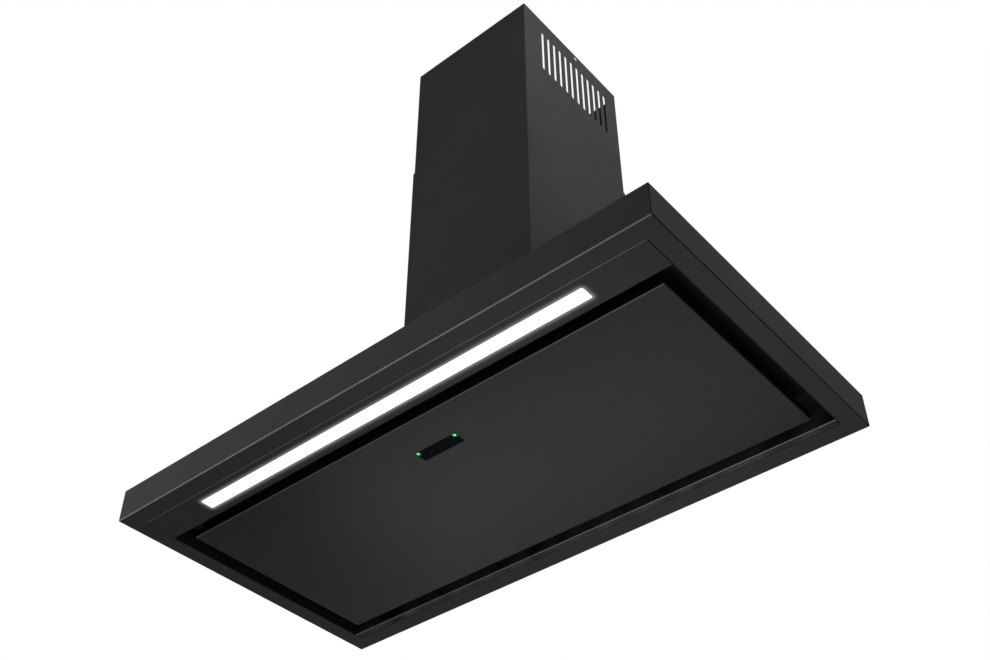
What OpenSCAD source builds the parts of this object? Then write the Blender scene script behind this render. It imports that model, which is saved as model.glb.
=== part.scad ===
// Wall chimney hood: slim box canopy, hinged suction panel, blower and telescopic duct cover.
// Millimetres. Origin on the wall plane, in the middle of the underside of the canopy.
// +X is to the right of a person facing the hood, +Y goes into the wall, +Z is up.

/* [Canopy] */
// Width of the canopy
hood_w = 900; // [860:10:1200]
// Depth of the canopy from the wall
hood_d = 480; // [470:5:560]
// Height of the canopy's box
hood_h = 51; // [50:1:70]
// Thickness of the canopy's steel sheet
sheet = 1; // [0.8:0.1:1.2]
// Width of the rim along each side of the underside
side_rim = 25; // [15:1:30]
// Width of the rim along the front of the underside
front_rim = 27; // [20:1:32]
// Width of the rim along the wall
back_rim = 28; // [20:1:32]
// Hairline left between two sheets that meet
seam = 0.3; // [0.2:0.1:0.5]

/* [Light rail] */
// Depth of the rail that carries the light
rail_d = 51; // [46:1:60]
// Length of the light's window
light_l = 650; // [300:10:700]
// Depth of the light's window
light_d = 20; // [12:1:22]
// Radius of the corners of the light's window
light_r = 1.5; // [1:0.5:6]
// Thickness of the opal strip's lip
opal_t = 2; // [1.5:0.1:3]
// Width of the opal strip's lip over the rail
opal_lip = 3; // [2:0.5:4]
// Height of the channel over the light
channel_h = 18; // [14:1:19]
// Wall of the channel over the light
channel_t = 1.5; // [1:0.1:2]
// Distance from one lamp chip to the next
chip_pitch = 27; // [20:1:40]
// Height of the turned-up front edge of the rail
rail_return = 12; // [6:1:18]

/* [Recess] */
// Depth of the folded strip at the back of the recess
hem_d = 12; // [8:1:16]
// Height of the filter deck over the underside
deck_h = 30; // [29:0.5:32]
// Deck left of and right of the filters
side_deck = 54; // [48:1:70]
// Deck in front of the filters
front_deck = 27; // [20:1:40]
// Deck behind the filters
rear_deck = 45; // [42:1:60]
// Deck between the two filters
filter_bridge = 20; // [14:1:30]
// Width of the ledge that stops a filter
filter_ledge = 6; // [4:1:8]
// Width of the tray's flange on the rim
tray_flange = 15; // [8:1:20]

/* [Suction panel] */
// Air gap along each side of the panel
side_gap = 25; // [18:1:30]
// Air gap along the front of the panel
front_gap = 18; // [14:1:24]
// Air gap along the back of the panel
back_gap = 20; // [20:1:26]
// Height of the panel's turned-up edge
panel_h = 12; // [9:0.5:12.5]
// Thickness of the panel's sheet
panel_t = 1; // [0.8:0.1:1.5]
// Distance from each end of the panel to its hinge
hinge_inset = 100; // [60:5:200]
// Distance from the panel's back edge forward to the hinge line
hinge_back = 6; // [5.5:0.5:8]
// Drop from the filter deck to the hinge line
hinge_drop = 12; // [11:0.5:12.5]
// Radius of the hinge pin
pin_r = 2; // [1.5:0.25:2.5]
// Radius of the hinge's knuckle
knuckle_r = 4.5; // [4:0.25:5]
// Length of the panel's knuckle
knuckle_l = 27; // [16:1:40]

/* [Sensor] */
// Length of the sensor's window
sensor_w = 68; // [50:1:90]
// Depth of the sensor's window
sensor_d = 20; // [14:1:26]
// Middle of the window, to the right of the hood's middle
sensor_x = 5; // [-40:1:40]
// Middle of the window, behind the panel's front edge
sensor_back = 64.5; // [40:0.5:90]
// Radius of an indicator's light pipe
lens_r = 1.5; // [1:0.1:2]
// Distance between the two indicators
lens_span = 63; // [40:1:64]

/* [Filters] */
// Thickness of a grease filter
filter_t = 10; // [9:0.5:12]
// Width of a filter frame's bar
filter_bar = 12; // [10:1:18]
// Width of a filter frame's front bar, which holds the latch
latch_bar = 43; // [41:1:50]
// Width of a latch
latch_w = 40; // [30:1:60]
// Length of a latch
latch_l = 20; // [16:1:21]
// Travel of a latch
latch_travel = 5; // [4:0.5:5.5]
// Number of cells across a filter
cells_x = 13; // [6:1:16]
// Number of cells from front to back of a filter
cells_y = 9; // [5:1:12]

/* [Blower] */
// Gap between the blower cabinet and each side of the duct cover
cabinet_side_gap = 22; // [19:1:30]
// Gap between the blower cabinet and the front of the duct cover
cabinet_front_gap = 30; // [16:1:34]
// Height of the blower cabinet
cabinet_h = 249; // [240:1:300]
// Width of the cabinet's foot flange
cabinet_foot = 10; // [8:1:11]
// Height of the impeller's axis over the canopy
axis_up = 109; // [104:1:112]
// Inner radius of the scroll at its tongue
scroll_r_min = 72; // [70:1:76]
// Inner radius of the scroll at its widest
scroll_r_max = 100; // [96:1:101]
// Width of the scroll over its walls
scroll_w = 100; // [96:1:104]
// Wall of the scroll
scroll_t = 2.5; // [2:0.1:3]
// Radius of the scroll's air inlets
inlet_r = 52; // [48:1:54]
// Outer radius of the impeller
impeller_r = 66; // [62:1:67]
// Length of the impeller's blades from its middle plate
blade_l = 42; // [36:1:43]
// Number of blades on each side of the impeller
blade_count = 32; // [24:1:40]
// Radius of the motor
motor_r = 36; // [30:1:38]
// Length of the motor
motor_l = 46; // [40:1:50]
// Radius of the motor's shaft
shaft_r = 4; // [3:0.5:5]

/* [Outlet] */
// Outer radius of the duct collar
collar_r = 75; // [74:0.5:76]
// Height of the duct collar
collar_h = 50; // [46:1:60]
// Wall of the duct collar
collar_t = 1.5; // [1.2:0.1:2]
// Height of the check flaps over the cabinet
flap_up = 22; // [18:1:26]
// Thickness of a check flap
flap_t = 1.2; // [1:0.1:1.5]
// Radius of the bore in the cable gland
gland_r = 4.5; // [3:0.5:5]

/* [Duct cover] */
// Width of the lower duct cover
chimney_w = 250; // [246:1:280]
// Depth of the lower duct cover
chimney_d = 270; // [266:1:290]
// Height of the lower duct cover
lower_h = 619; // [500:1:700]
// Height of the hood's top over the underside
chimney_top = 940; // [900:5:1040]
// Length of the upper duct cover
upper_h = 500; // [480:5:520]
// Thickness of the duct cover's sheet
cover_t = 0.8; // [0.6:0.1:1]
// Outer radius of the duct cover's folds
cover_bend_r = 1.5; // [1.1:0.1:2.5]
// Gap between the lower and the upper duct cover
slide_gap = 0.6; // [0.4:0.1:0.8]
// Width of the duct cover's flange on the wall
cover_flange = 18; // [14:1:19]
// Number of air slots on each side of the upper cover
slot_count = 12; // [8:1:12]
// Length of an air slot
slot_l = 102; // [80:1:120]
// Width of an air slot
slot_w = 6; // [4:0.5:8]
// Distance from one air slot to the next
slot_pitch = 16.3; // [14:0.1:17]
// Distance from the wall to the nearest air slot
slot_back = 39; // [36:1:48]
// Distance from the upper cover's top to the air slots
slot_drop = 36; // [34:1:60]

/* [Wall bracket] */
// Thickness of the bracket's sheet
bracket_t = 1.5; // [1.2:0.1:2]
// Height of the bracket's wall plate
bracket_h = 88; // [60:1:100]
// Height of the bracket's arms
arm_h = 24; // [18:1:26]
// Reach of the bracket's arms from the wall
arm_reach = 138; // [132:1:160]
// Distance from the wall to the cover screws
cover_screw_back = 125; // [110:1:128]
// Distance from the upper cover's top to the cover screws
cover_screw_drop = 15; // [13:0.5:18]
// Distance from the upper cover's top to the bracket
bracket_drop = 8; // [6:0.5:9]

/* [Wall holes] */
// Radius of a wall hole in the cabinet's back
wall_hole_r = 4.25; // [3:0.25:5]
// Distance between wall holes across the hood
wall_hole_w = 160; // [120:5:170]
// Distance between the upper and the lower wall holes
wall_hole_h = 170; // [140:5:190]
// Height of the lower wall holes over the canopy
wall_hole_up = 24; // [20:1:30]
// Radius of the bracket's wall holes
bracket_hole_r = 3; // [2.5:0.25:3.5]
// Distance between the bracket's wall holes
bracket_hole_w = 160; // [100:5:180]

/* [Hidden] */
// Overrun of every cut
cut = 1;
// Room around a piece in its pocket
play = 0.3;
// Room around a turning or sliding shaft
run_play = 0.05;
// Facets of a round edge
round_fn = 64;

// Colours
black_steel = "#2b2b2c";
black_cover = "#2a2a2a";
black_gap = "#161617";
black_plastic = "#232324";
dark_glass = "#0c1012";
opal_white = "#f6f6f2";
lamp_green = "#39d65c";
zinc_steel = "#a9adb0";
mill_aluminium = "#b9bcbe";
board_green = "#22583a";
motor_steel = "#7f8386";
wheel_plastic = "#4a4d50";
scroll_plastic = "#3a3c3e";
magnet_grey = "#55575a";

// Canopy
open_x = hood_w / 2 - side_rim;
open_front = -hood_d + front_rim;
open_back = -back_rim;
canopy_roof = hood_h - sheet;

// Recess
recess_front = open_front + rail_d;
recess_back = open_back - hem_d;
insert_x = open_x - seam;
recess_x = insert_x - sheet;

// Filters
filter_x = side_deck;
filter_w = open_x - side_deck - filter_bridge / 2;
filter_y0 = recess_front + front_deck;
filter_y1 = recess_back - rear_deck;
filter_mid = (filter_bridge + filter_w) / 2;
filter_top = deck_h + filter_t;
ledge_z = filter_top + play;
tab_w = 20;
tab_t = 1.6;
tab_l = 5;
tab_up = 4;
tab_inset = 60;
mesh_lip = 1.8;
mesh_sink = 8;
cell_wall = 1.6;
latch_wall = 5;
latch_rail = 2;
latch_rail_up = 3.2;
latch_bolt_w = 16;
latch_bolt_t = 2.4;
latch_bolt_l = latch_travel - play;
latch_roof = 1.8;
latch_depth = filter_t - latch_roof - play;
thumb_d = 9;
thumb_wall = 3;

// Suction panel
panel_x = open_x - side_gap;
panel_y0 = recess_front + front_gap;
panel_y1 = recess_back - back_gap;
hinge_x = panel_x - hinge_inset;
hinge_y = panel_y1 - hinge_back;
hinge_z = deck_h - hinge_drop;
ear_t = 2;
ear_gap = 0.5;
ear_rim = 0.5;
ear_r = knuckle_r + ear_rim;
bracket_plate_t = 2;
bracket_plate_over = 4;
bracket_plate_x = knuckle_l / 2 + ear_gap + ear_t + bracket_plate_over;
leaf_t = 4;
leaf_foot_t = 2;
leaf_foot_l = 24;
brace_w = 20;
brace_h = 7;
brace_inset = 34;
brace_t = 1;
striker_inset = 15;
striker_back = 18;
striker_x = panel_x - striker_inset;
striker_y = panel_y0 + striker_back;
striker_w = 18;
striker_d = 14;
striker_t = 1.5;
striker_post = panel_h - striker_t + panel_t;
catch_w = 20;
catch_d = 24;
catch_lip = 2;

// Sensor
sensor_y = panel_y0 + sensor_back;
window_lip = 2;
window_lip_t = 1.2;
housing_wall = 1.6;
housing_room = 4;
housing_h = 13;
board_t = 1.6;
board_up = 6;
lens_inset = 3;

// Light
light_y = open_front + rail_d / 2;
channel_w = light_d + 2 * (opal_lip + play + channel_t);
channel_over = 6;
lamp_board_play = 0.9;
lamp_board_w = light_d - 2 * lamp_board_play;
chip_w = 5;
chip_h = 0.8;
driver_w = 120;
driver_d = 40;
driver_h = 22;
driver_x = 230;
driver_ear = 12;
control_w = 190;
control_d = 52;
control_h = 23;
control_x = -190;
control_wall = 2;
control_post = 5;
box_front_gap = 12;

// Blower cabinet
cabinet_x = chimney_w / 2 - cabinet_side_gap;
cabinet_front = -chimney_d + cabinet_front_gap;
cabinet_top = hood_h + cabinet_h;
air_margin = 13;
foot_screw_inset = 30;
foot_screw_r = 2.1;
foot_head_r = 4.2;
foot_head_h = 2.2;
foot_screw_l = 7;
screw_play = 0.15;

// Duct collar
collar_foot_w = 9;
collar_foot_r = collar_r + collar_foot_w;
collar_foot_t = 1.5;
collar_screws = 4;
collar_screw_r = 1.5;
collar_screw_l = 6;
duct_y = cabinet_front + collar_foot_r + play;
ledge_w = 3.5;
ledge_t = 1.5;
flap_pin_r = 2;
flap_play = 1.5;
flap_r = collar_r - collar_t - flap_play;
flap_knuckle_r = 3.6;
flap_knuckle_l = 28;
flap_knuckle_gap = 1;
flap_root = 0.6;
flap_z = cabinet_top + flap_up;
flap_rib_h = 2.4;
flap_rib_t = 1.4;
flap_rib_share = 0.8;

// Scroll and motor
neck_w = scroll_r_max;
axis_y = duct_y + scroll_r_max - neck_w / 2;
axis_z = hood_h + axis_up;
neck_top = cabinet_top - sheet - axis_z;
volute_turn = 270;
volute_steps = 40;
neck_flange = 8;
neck_flange_t = 2;
scroll_ear_shares = [0.22, 0.48, 0.74, 0.93];
scroll_ear_r = 6;
scroll_ear_t = 4;
scroll_ear_out = 4;
scroll_screw_r = 1.9;
inlet_lip = 3;
inlet_lip_w = 2.5;
wheel_ring_w = 13;
wheel_ring_t = 3;
wheel_plate_t = 2;
wheel_hub_r = 12;
wheel_hub_l = 24;
blade_t = 1.2;
blade_edge = 1.5;
blade_in = wheel_ring_w - blade_edge;
blade_out = blade_edge;
blade_sweep = 9;
blade_steps = 5;
motor_nose_r = 14;
motor_nose_l = 6;
hub_gap = 2;
motor_face = wheel_hub_l / 2 + hub_gap;
motor_fins = 24;
motor_fin_start_share = 0.5;
motor_fin_length_share = 0.5;
motor_fin_d = 1.5;
motor_fin_w = 2;
shaft_end = 2;
spider_t = 3;
spider_ring_w = 5;
spider_clamp_w = 4;
spider_clamp_l = 6;
spider_arm_w = 9;
spider_arms = 3;
guard_t = 2;
guard_wire = 2;
guard_rings = 3;
guard_spokes = 6;
capacitor_r = 15;
capacitor_l = 38;
capacitor_share = 0.25;
capacitor_y = cabinet_front * capacitor_share;
capacitor_drop = 38;
gland_x_share = 0.73;
gland_back = 30;
gland_body_r = 8;
gland_hex_r = 12;
gland_hex_h = 5;
gland_dome_h = 9;
gland_thread_l = 9;
gland_dome_share = 0.84;
gland_mouth_share = 1.4;

// Duct cover
lower_top = hood_h + lower_h;
upper_x = chimney_w / 2 - cover_t - slide_gap;
upper_front = -chimney_d + cover_t + slide_gap;
upper_back = -cover_t - slide_gap;
upper_bottom = chimney_top - upper_h;
flange_edge = chimney_w / 2 - cover_flange;
clip_h = 24;
clip_w = 30;
clip_foot = 9;
clip_y = cabinet_front / 2;
cover_screw_r = 1.9;
cover_head_r = 3.6;
cover_head_h = 1.8;
cover_screw_l = 8;
boss_r = 8;
bracket_back = upper_back - cover_t;
bracket_bend_r = 2.5;

// A block from its lowest corner to its highest corner
module block(low, high) {
    translate(low) cube(high - low);
}

// The shape and its mirror image across the hood's middle
module both_sides() {
    children();
    mirror([1, 0, 0]) children();
}

// An outline drawn as (y, z), carried along X from x0 for a length
module along_x(x0, length) {
    translate([x0, 0, 0]) rotate([90, 0, 90]) linear_extrude(length) children();
}

// The same about the impeller's axis
module on_axis(x0, length) {
    translate([0, axis_y, axis_z]) along_x(x0, length) children();
}

// A rectangle with round corners, drawn flat from its lowest corner to its highest corner
module round_rect(low, high, r) {
    translate([low[0], low[1] + r]) square([high[0] - low[0], high[1] - low[1] - 2 * r]);
    translate([low[0] + r, low[1]]) square([high[0] - low[0] - 2 * r, high[1] - low[1]]);
    for (x = [low[0] + r, high[0] - r])
        for (y = [low[1] + r, high[1] - r])
            translate([x, y]) circle(r, $fn = round_fn / 2);
}

// A ring drawn flat
module ring_2d(outer, inner) {
    difference() {
        circle(outer, $fn = round_fn);
        circle(inner, $fn = round_fn);
    }
}

// A pan-head screw that points down from the plane z = 0, with its head above it
module screw(shank, length, head, head_h) {
    translate([0, 0, -length]) cylinder(r = shank, h = length, $fn = round_fn / 2);
    cylinder(r = head, h = head_h, $fn = round_fn / 2);
}

// Canopy: folded box with a turned-in rim, open below, and a hole in its roof for the air
module canopy_shell() {
    color(black_steel) difference() {
        block([-hood_w / 2, -hood_d, 0], [hood_w / 2, 0, hood_h]);
        block([sheet - hood_w / 2, sheet - hood_d, sheet], [hood_w / 2 - sheet, -sheet, canopy_roof]);
        block([-open_x, open_front, -cut], [open_x, open_back, sheet + cut]);
        block([air_margin - cabinet_x, cabinet_front + air_margin, canopy_roof - cut],
              [cabinet_x - air_margin, -air_margin, hood_h + cut]);
        foot_holes(canopy_roof - cut, hood_h + cut);
    }
}

// Places of the screws through the blower cabinet's foot
module at_foot_screws() {
    for (side = [-1, 1])
        for (y = [cabinet_front + foot_screw_inset, cabinet_front / 2, -foot_screw_inset])
            translate([side * (cabinet_x + cabinet_foot / 2), y, 0]) children();
}

module foot_holes(z0, z1) {
    at_foot_screws() translate([0, 0, z0])
        cylinder(r = foot_screw_r + screw_play, h = z1 - z0, $fn = round_fn / 2);
}

// Front rail that holds the light: flat strip, low front edge, back edge as tall as the recess
module light_rail() {
    color(black_steel) difference() {
        union() {
            block([-insert_x, open_front + seam, 0], [insert_x, recess_front, sheet]);
            block([-insert_x, recess_front - sheet, 0], [insert_x, recess_front, deck_h]);
            block([-insert_x, open_front + seam, 0], [insert_x, open_front + seam + sheet, rail_return]);
        }
        light_window(0, -cut, sheet + cut);
    }
}

// The light's window outline, grown, between two heights
module light_window(grow, z0, z1) {
    translate([0, 0, z0]) linear_extrude(z1 - z0)
        round_rect([-light_l / 2 - grow, light_y - light_d / 2 - grow],
                   [light_l / 2 + grow, light_y + light_d / 2 + grow],
                   min(light_r, light_d / 2 - play) + grow);
}

// Folded strip along the back of the recess
module back_rail() {
    color(black_steel) {
        block([-insert_x, recess_back, 0], [insert_x, open_back - seam, sheet]);
        block([-insert_x, recess_back, sheet], [insert_x, recess_back + sheet, deck_h]);
        block([-insert_x, open_back - seam - sheet, sheet], [insert_x, open_back - seam, rail_return]);
    }
}

// A filter's outline with room around it, as a block between two heights
module filter_room(grow, z0, z1) {
    block([filter_mid - filter_w / 2 - grow, filter_y0 - grow, z0],
          [filter_mid + filter_w / 2 + grow, filter_y1 + grow, z1]);
}

// Where the tabs at the back of a filter go into the pocket
module filter_tabs(grow, length) {
    for (side = [-1, 1])
        translate([filter_mid + side * (filter_w / 2 - tab_inset), filter_y1, deck_h + tab_up])
            block([-tab_w / 2 - grow, -cut, -grow], [tab_w / 2 + grow, length, tab_t + grow]);
}

// Where the latch's bolt goes into the pocket
module filter_bolt(grow, length) {
    translate([filter_mid, filter_y0, deck_h + latch_rail_up])
        block([-latch_bolt_w / 2 - grow, -length, -grow],
              [latch_bolt_w / 2 + grow, latch_wall + cut, latch_bolt_t + grow]);
}

// Pressed tray: side walls of the recess, filter deck and two filter pockets
module recess_tray() {
    color(black_gap) difference() {
        union() {
            block([-insert_x, recess_front - sheet, deck_h],
                  [insert_x, recess_back + sheet, deck_h + sheet]);
            both_sides() {
                block([recess_x, recess_front, 0], [insert_x, recess_back, deck_h]);
                block([insert_x, recess_front, sheet], [insert_x + tray_flange, recess_back, 2 * sheet]);
                filter_room(play + sheet, deck_h, ledge_z + sheet);
            }
        }
        both_sides() {
            filter_room(play, deck_h - cut, ledge_z);
            filter_room(-filter_ledge, ledge_z - cut, ledge_z + sheet + cut);
            filter_tabs(play, tab_l + cut);
            filter_bolt(play, latch_travel + cut);
        }
    }
}

// Channel over the light, open below, with feet on the rail
module light_channel() {
    half_l = light_l / 2 + channel_over;
    color(mill_aluminium) difference() {
        block([-half_l, light_y - channel_w / 2, sheet],
              [half_l, light_y + channel_w / 2, sheet + channel_h]);
        block([channel_t - half_l, light_y - channel_w / 2 + channel_t, sheet - cut],
              [half_l - channel_t, light_y + channel_w / 2 - channel_t, sheet + channel_h - channel_t]);
    }
}

// Lamp board under the channel's roof, with its row of chips facing down
module led_board() {
    roof = sheet + channel_h - channel_t;
    chips = floor((light_l - chip_pitch) / chip_pitch);
    color(board_green)
        block([-light_l / 2, light_y - lamp_board_w / 2, roof - board_t],
              [light_l / 2, light_y + lamp_board_w / 2, roof]);
    color(opal_white)
        for (i = [0 : chips])
            translate([(i - chips / 2) * chip_pitch, light_y, roof - board_t - chip_h])
                block([-chip_w / 2, -chip_w / 2, 0], [chip_w / 2, chip_w / 2, chip_h]);
}

// Opal strip: fills the slot flush with the rail and rests on it with a lip
module light_diffuser() {
    color(opal_white) {
        light_window(-play, 0, sheet);
        light_window(opal_lip, sheet, sheet + opal_t);
    }
}

// Power supply of the light, held under the canopy's roof
module led_driver() {
    y0 = -hood_d + box_front_gap;
    color(opal_white) difference() {
        union() {
            block([driver_x - driver_w / 2, y0, canopy_roof - driver_h],
                  [driver_x + driver_w / 2, y0 + driver_d, canopy_roof]);
            block([driver_x - driver_w / 2 - driver_ear, y0, canopy_roof - sheet],
                  [driver_x + driver_w / 2 + driver_ear, y0 + driver_d, canopy_roof]);
        }
        for (side = [-1, 1])
            translate([driver_x + side * (driver_w + driver_ear) / 2, y0 + driver_d / 2,
                       canopy_roof - sheet - cut])
                cylinder(r = cover_screw_r, h = sheet + 2 * cut, $fn = round_fn / 2);
    }
}

// Control box: moulded tray that hangs from the canopy's roof, open below
module control_box() {
    y0 = -hood_d + box_front_gap;
    low = [control_x - control_w / 2, y0, canopy_roof - control_h];
    high = [control_x + control_w / 2, y0 + control_d, canopy_roof];
    wall = [control_wall, control_wall, 0];
    color(black_plastic) {
        difference() {
            block(low, high);
            block(low + wall - [0, 0, cut], high - wall - [0, 0, control_wall]);
        }
        for (sx = [-1, 1])
            for (sy = [-1, 1])
                translate([control_x + sx * (control_w / 2 - 2 * control_post),
                           y0 + control_d / 2 + sy * (control_d / 2 - 2 * control_post),
                           canopy_roof - control_wall - control_post])
                    cylinder(r = control_post / 2, h = control_post, $fn = round_fn / 2);
    }
}

// Lid of the control box
module control_lid() {
    y0 = -hood_d + box_front_gap;
    z1 = canopy_roof - control_h;
    color(black_plastic)
        block([control_x - control_w / 2, y0, z1 - control_wall],
              [control_x + control_w / 2, y0 + control_d, z1]);
}

// Control board on its posts, with its relays and terminal row
module control_board() {
    y0 = -hood_d + box_front_gap + control_wall + 2 * play;
    y1 = -hood_d + box_front_gap + control_d - control_wall - 2 * play;
    z1 = canopy_roof - control_wall - control_post;
    half_w = control_w / 2 - control_wall - 2 * play;
    relay = (y1 - y0) / 3;
    color(board_green) block([control_x - half_w, y0, z1 - board_t], [control_x + half_w, y1, z1]);
    color(black_plastic)
        for (i = [0 : 3])
            translate([control_x - half_w + relay / 2 + 2 * relay * i, y0 + relay,
                       z1 - board_t - relay / 2])
                block([0, 0, 0], [relay, relay, relay / 2]);
}

// Fixed half of each hinge: a plate under the deck with two ears
module hinge_brackets() {
    ear_x = knuckle_l / 2 + ear_gap;
    color(zinc_steel)
        for (side = [-1, 1])
            translate([side * hinge_x, hinge_y, hinge_z])
                difference() {
                    union() {
                        block([-bracket_plate_x, -2 * ear_r, hinge_drop - bracket_plate_t],
                              [bracket_plate_x, ear_r, hinge_drop]);
                        for (x = [-ear_x - ear_t, ear_x]) {
                            along_x(x, ear_t) circle(ear_r, $fn = round_fn);
                            block([x, -ear_r, 0], [x + ear_t, ear_r, hinge_drop - bracket_plate_t]);
                        }
                    }
                    along_x(-ear_x - ear_t - cut, 2 * (ear_x + ear_t + cut)) circle(pin_r, $fn = round_fn);
                }
}

// Hinge pins, pressed into the ears
module hinge_pins() {
    half_l = knuckle_l / 2 + ear_gap + ear_t;
    color(zinc_steel)
        for (side = [-1, 1])
            translate([side * hinge_x, hinge_y, hinge_z])
                along_x(-half_l, 2 * half_l) circle(pin_r, $fn = round_fn);
}

// Magnet holders under the deck that keep the panel shut
module panel_catches() {
    z0 = panel_t + striker_post + striker_t;
    color(black_plastic)
        for (side = [-1, 1])
            translate([side * striker_x, striker_y, 0]) {
                block([-catch_w / 2, -catch_d / 2, z0 + catch_lip], [catch_w / 2, catch_d / 2, deck_h]);
                block([catch_lip - catch_w / 2, catch_lip - catch_d / 2, z0],
                      [catch_w / 2 - catch_lip, catch_d / 2 - catch_lip, z0 + catch_lip]);
            }
}

// Grease filter's frame: folded bars with a groove for the mesh and a pocket for the latch
module filter_frame() {
    low = [filter_mid - filter_w / 2, filter_y0, deck_h];
    high = [filter_mid + filter_w / 2, filter_y1, filter_top];
    bar = [filter_bar, filter_bar, 0];
    front = [0, latch_bar - filter_bar, 0];
    sink = [mesh_sink + play, mesh_sink + play, 0];
    lip = [0, 0, mesh_lip];
    pocket_y0 = filter_y0 + latch_wall;
    pocket_y1 = pocket_y0 + latch_l + latch_travel + play;
    pocket_x = latch_w / 2 + play;
    difference() {
        union() {
            block(low, high);
            filter_tabs(0, tab_l);
        }
        block(low + bar + front - [0, 0, cut], high - bar + [0, 0, cut]);
        block(low + bar + front - sink + lip, high - bar + sink - lip);
        block([filter_mid - pocket_x, pocket_y0, deck_h - cut],
              [filter_mid + pocket_x, pocket_y1, filter_top - latch_roof]);
        block([filter_mid - pocket_x - latch_rail, pocket_y0, deck_h + latch_rail_up - play],
              [filter_mid + pocket_x + latch_rail, pocket_y1, deck_h + latch_rail_up + latch_rail + play]);
        filter_bolt(play, cut);
    }
}

// Mesh pack of a filter, held in the frame's groove
module filter_mesh() {
    x0 = filter_mid - filter_w / 2 + filter_bar;
    x1 = filter_mid + filter_w / 2 - filter_bar;
    y0 = filter_y0 + latch_bar;
    y1 = filter_y1 - filter_bar;
    pitch_x = (x1 - x0) / cells_x;
    pitch_y = (y1 - y0) / cells_y;
    translate([0, 0, deck_h + mesh_lip]) linear_extrude(filter_t - 2 * mesh_lip) difference() {
        translate([x0 - mesh_sink, y0 - mesh_sink])
            square([x1 - x0 + 2 * mesh_sink, y1 - y0 + 2 * mesh_sink]);
        for (i = [0 : cells_x - 1])
            for (j = [0 : cells_y - 1])
                translate([x0 + (i + 0.5) * pitch_x, y0 + (j + 0.5) * pitch_y])
                    polygon([[-pitch_x / 2 + cell_wall / 2, 0], [0, -pitch_y / 2 + cell_wall / 2],
                             [pitch_x / 2 - cell_wall / 2, 0], [0, pitch_y / 2 - cell_wall / 2]]);
    }
}

module filter_frame_left() {
    color(mill_aluminium) mirror([1, 0, 0]) filter_frame();
}

module filter_frame_right() {
    color(mill_aluminium) filter_frame();
}

module filter_mesh_left() {
    color(zinc_steel) mirror([1, 0, 0]) filter_mesh();
}

module filter_mesh_right() {
    color(zinc_steel) filter_mesh();
}

// Latch of a filter: a slide with side rails, a bolt at its front and a finger cup below
module filter_latch() {
    y0 = filter_y0 + latch_wall;
    color(black_plastic) difference() {
        union() {
            block([filter_mid - latch_w / 2, y0, deck_h],
                  [filter_mid + latch_w / 2, y0 + latch_l, deck_h + latch_depth]);
            block([filter_mid - latch_w / 2 - latch_rail, y0, deck_h + latch_rail_up],
                  [filter_mid + latch_w / 2 + latch_rail, y0 + latch_l,
                   deck_h + latch_rail_up + latch_rail]);
            block([filter_mid - latch_bolt_w / 2, filter_y0 - latch_bolt_l, deck_h + latch_rail_up],
                  [filter_mid + latch_bolt_w / 2, y0 + cut, deck_h + latch_rail_up + latch_bolt_t]);
        }
        block([filter_mid - latch_w / 2 + thumb_wall, y0 + latch_l - thumb_d - thumb_wall, deck_h - cut],
              [filter_mid + latch_w / 2 - thumb_wall, y0 + latch_l - thumb_wall,
               deck_h + latch_depth - thumb_wall / 2]);
    }
}

module filter_latch_left() {
    mirror([1, 0, 0]) filter_latch();
}

module filter_latch_right() {
    filter_latch();
}

// Blower cabinet: sheet box over the canopy's air hole, with feet and wall holes
module blower_cabinet() {
    color(zinc_steel) difference() {
        union() {
            block([-cabinet_x, cabinet_front, hood_h], [cabinet_x, 0, cabinet_top]);
            block([-cabinet_x - cabinet_foot, cabinet_front, hood_h],
                  [cabinet_x + cabinet_foot, -cover_t - cabinet_foot, hood_h + sheet]);
        }
        block([sheet - cabinet_x, cabinet_front + sheet, hood_h - cut],
              [cabinet_x - sheet, -sheet, cabinet_top - sheet]);
        translate([0, duct_y, cabinet_top - sheet - cut])
            cylinder(r = neck_w / sqrt(2) + play, h = sheet + 2 * cut, $fn = 2 * round_fn);
        at_wall_holes() translate([0, cut, 0]) rotate([90, 0, 0])
            cylinder(r = wall_hole_r, h = sheet + 2 * cut, $fn = round_fn);
        translate([cabinet_x * gland_x_share, -gland_back, cabinet_top - sheet - cut])
            cylinder(r = gland_body_r + screw_play, h = sheet + 2 * cut, $fn = round_fn);
        foot_holes(hood_h - cut, hood_h + sheet + cut);
        at_collar_screws() translate([0, 0, cabinet_top - sheet - cut])
            cylinder(r = collar_screw_r + screw_play, h = sheet + 2 * cut, $fn = round_fn / 2);
    }
}

// Places of the four holes that hang the cabinet on the wall
module at_wall_holes() {
    for (side = [-1, 1])
        for (up = [0, wall_hole_h])
            translate([side * wall_hole_w / 2, 0, hood_h + wall_hole_up + up]) children();
}

// Places of the screws through the duct collar's foot
module at_collar_screws() {
    for (i = [0 : collar_screws - 1])
        translate([0, duct_y, 0]) rotate([0, 0, (i + 0.5) * 360 / collar_screws])
            translate([(collar_r + collar_foot_r) / 2, 0, 0]) children();
}

// Start angle of the scroll's curve, where it meets the neck's inner wall
function volute_start(grow) = asin((neck_w - scroll_r_max + grow) / (scroll_r_min + grow));

// Inner radius of the scroll at an angle from the tongue: it grows evenly with the angle
function volute_r(angle) = scroll_r_min + (scroll_r_max - scroll_r_min) * angle / volute_turn;

// Outline of the scroll as (y, z) about its axis, grown outwards, with the neck up to a height
function volute(grow, top) = concat(
    [for (i = [0 : volute_steps])
        let (angle = volute_start(grow) + (volute_turn - volute_start(grow)) * i / volute_steps)
        (volute_r(angle) + grow) * [sin(angle), cos(angle)]],
    [[-scroll_r_max - grow, top], [neck_w - scroll_r_max + grow, top]]
);

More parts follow.
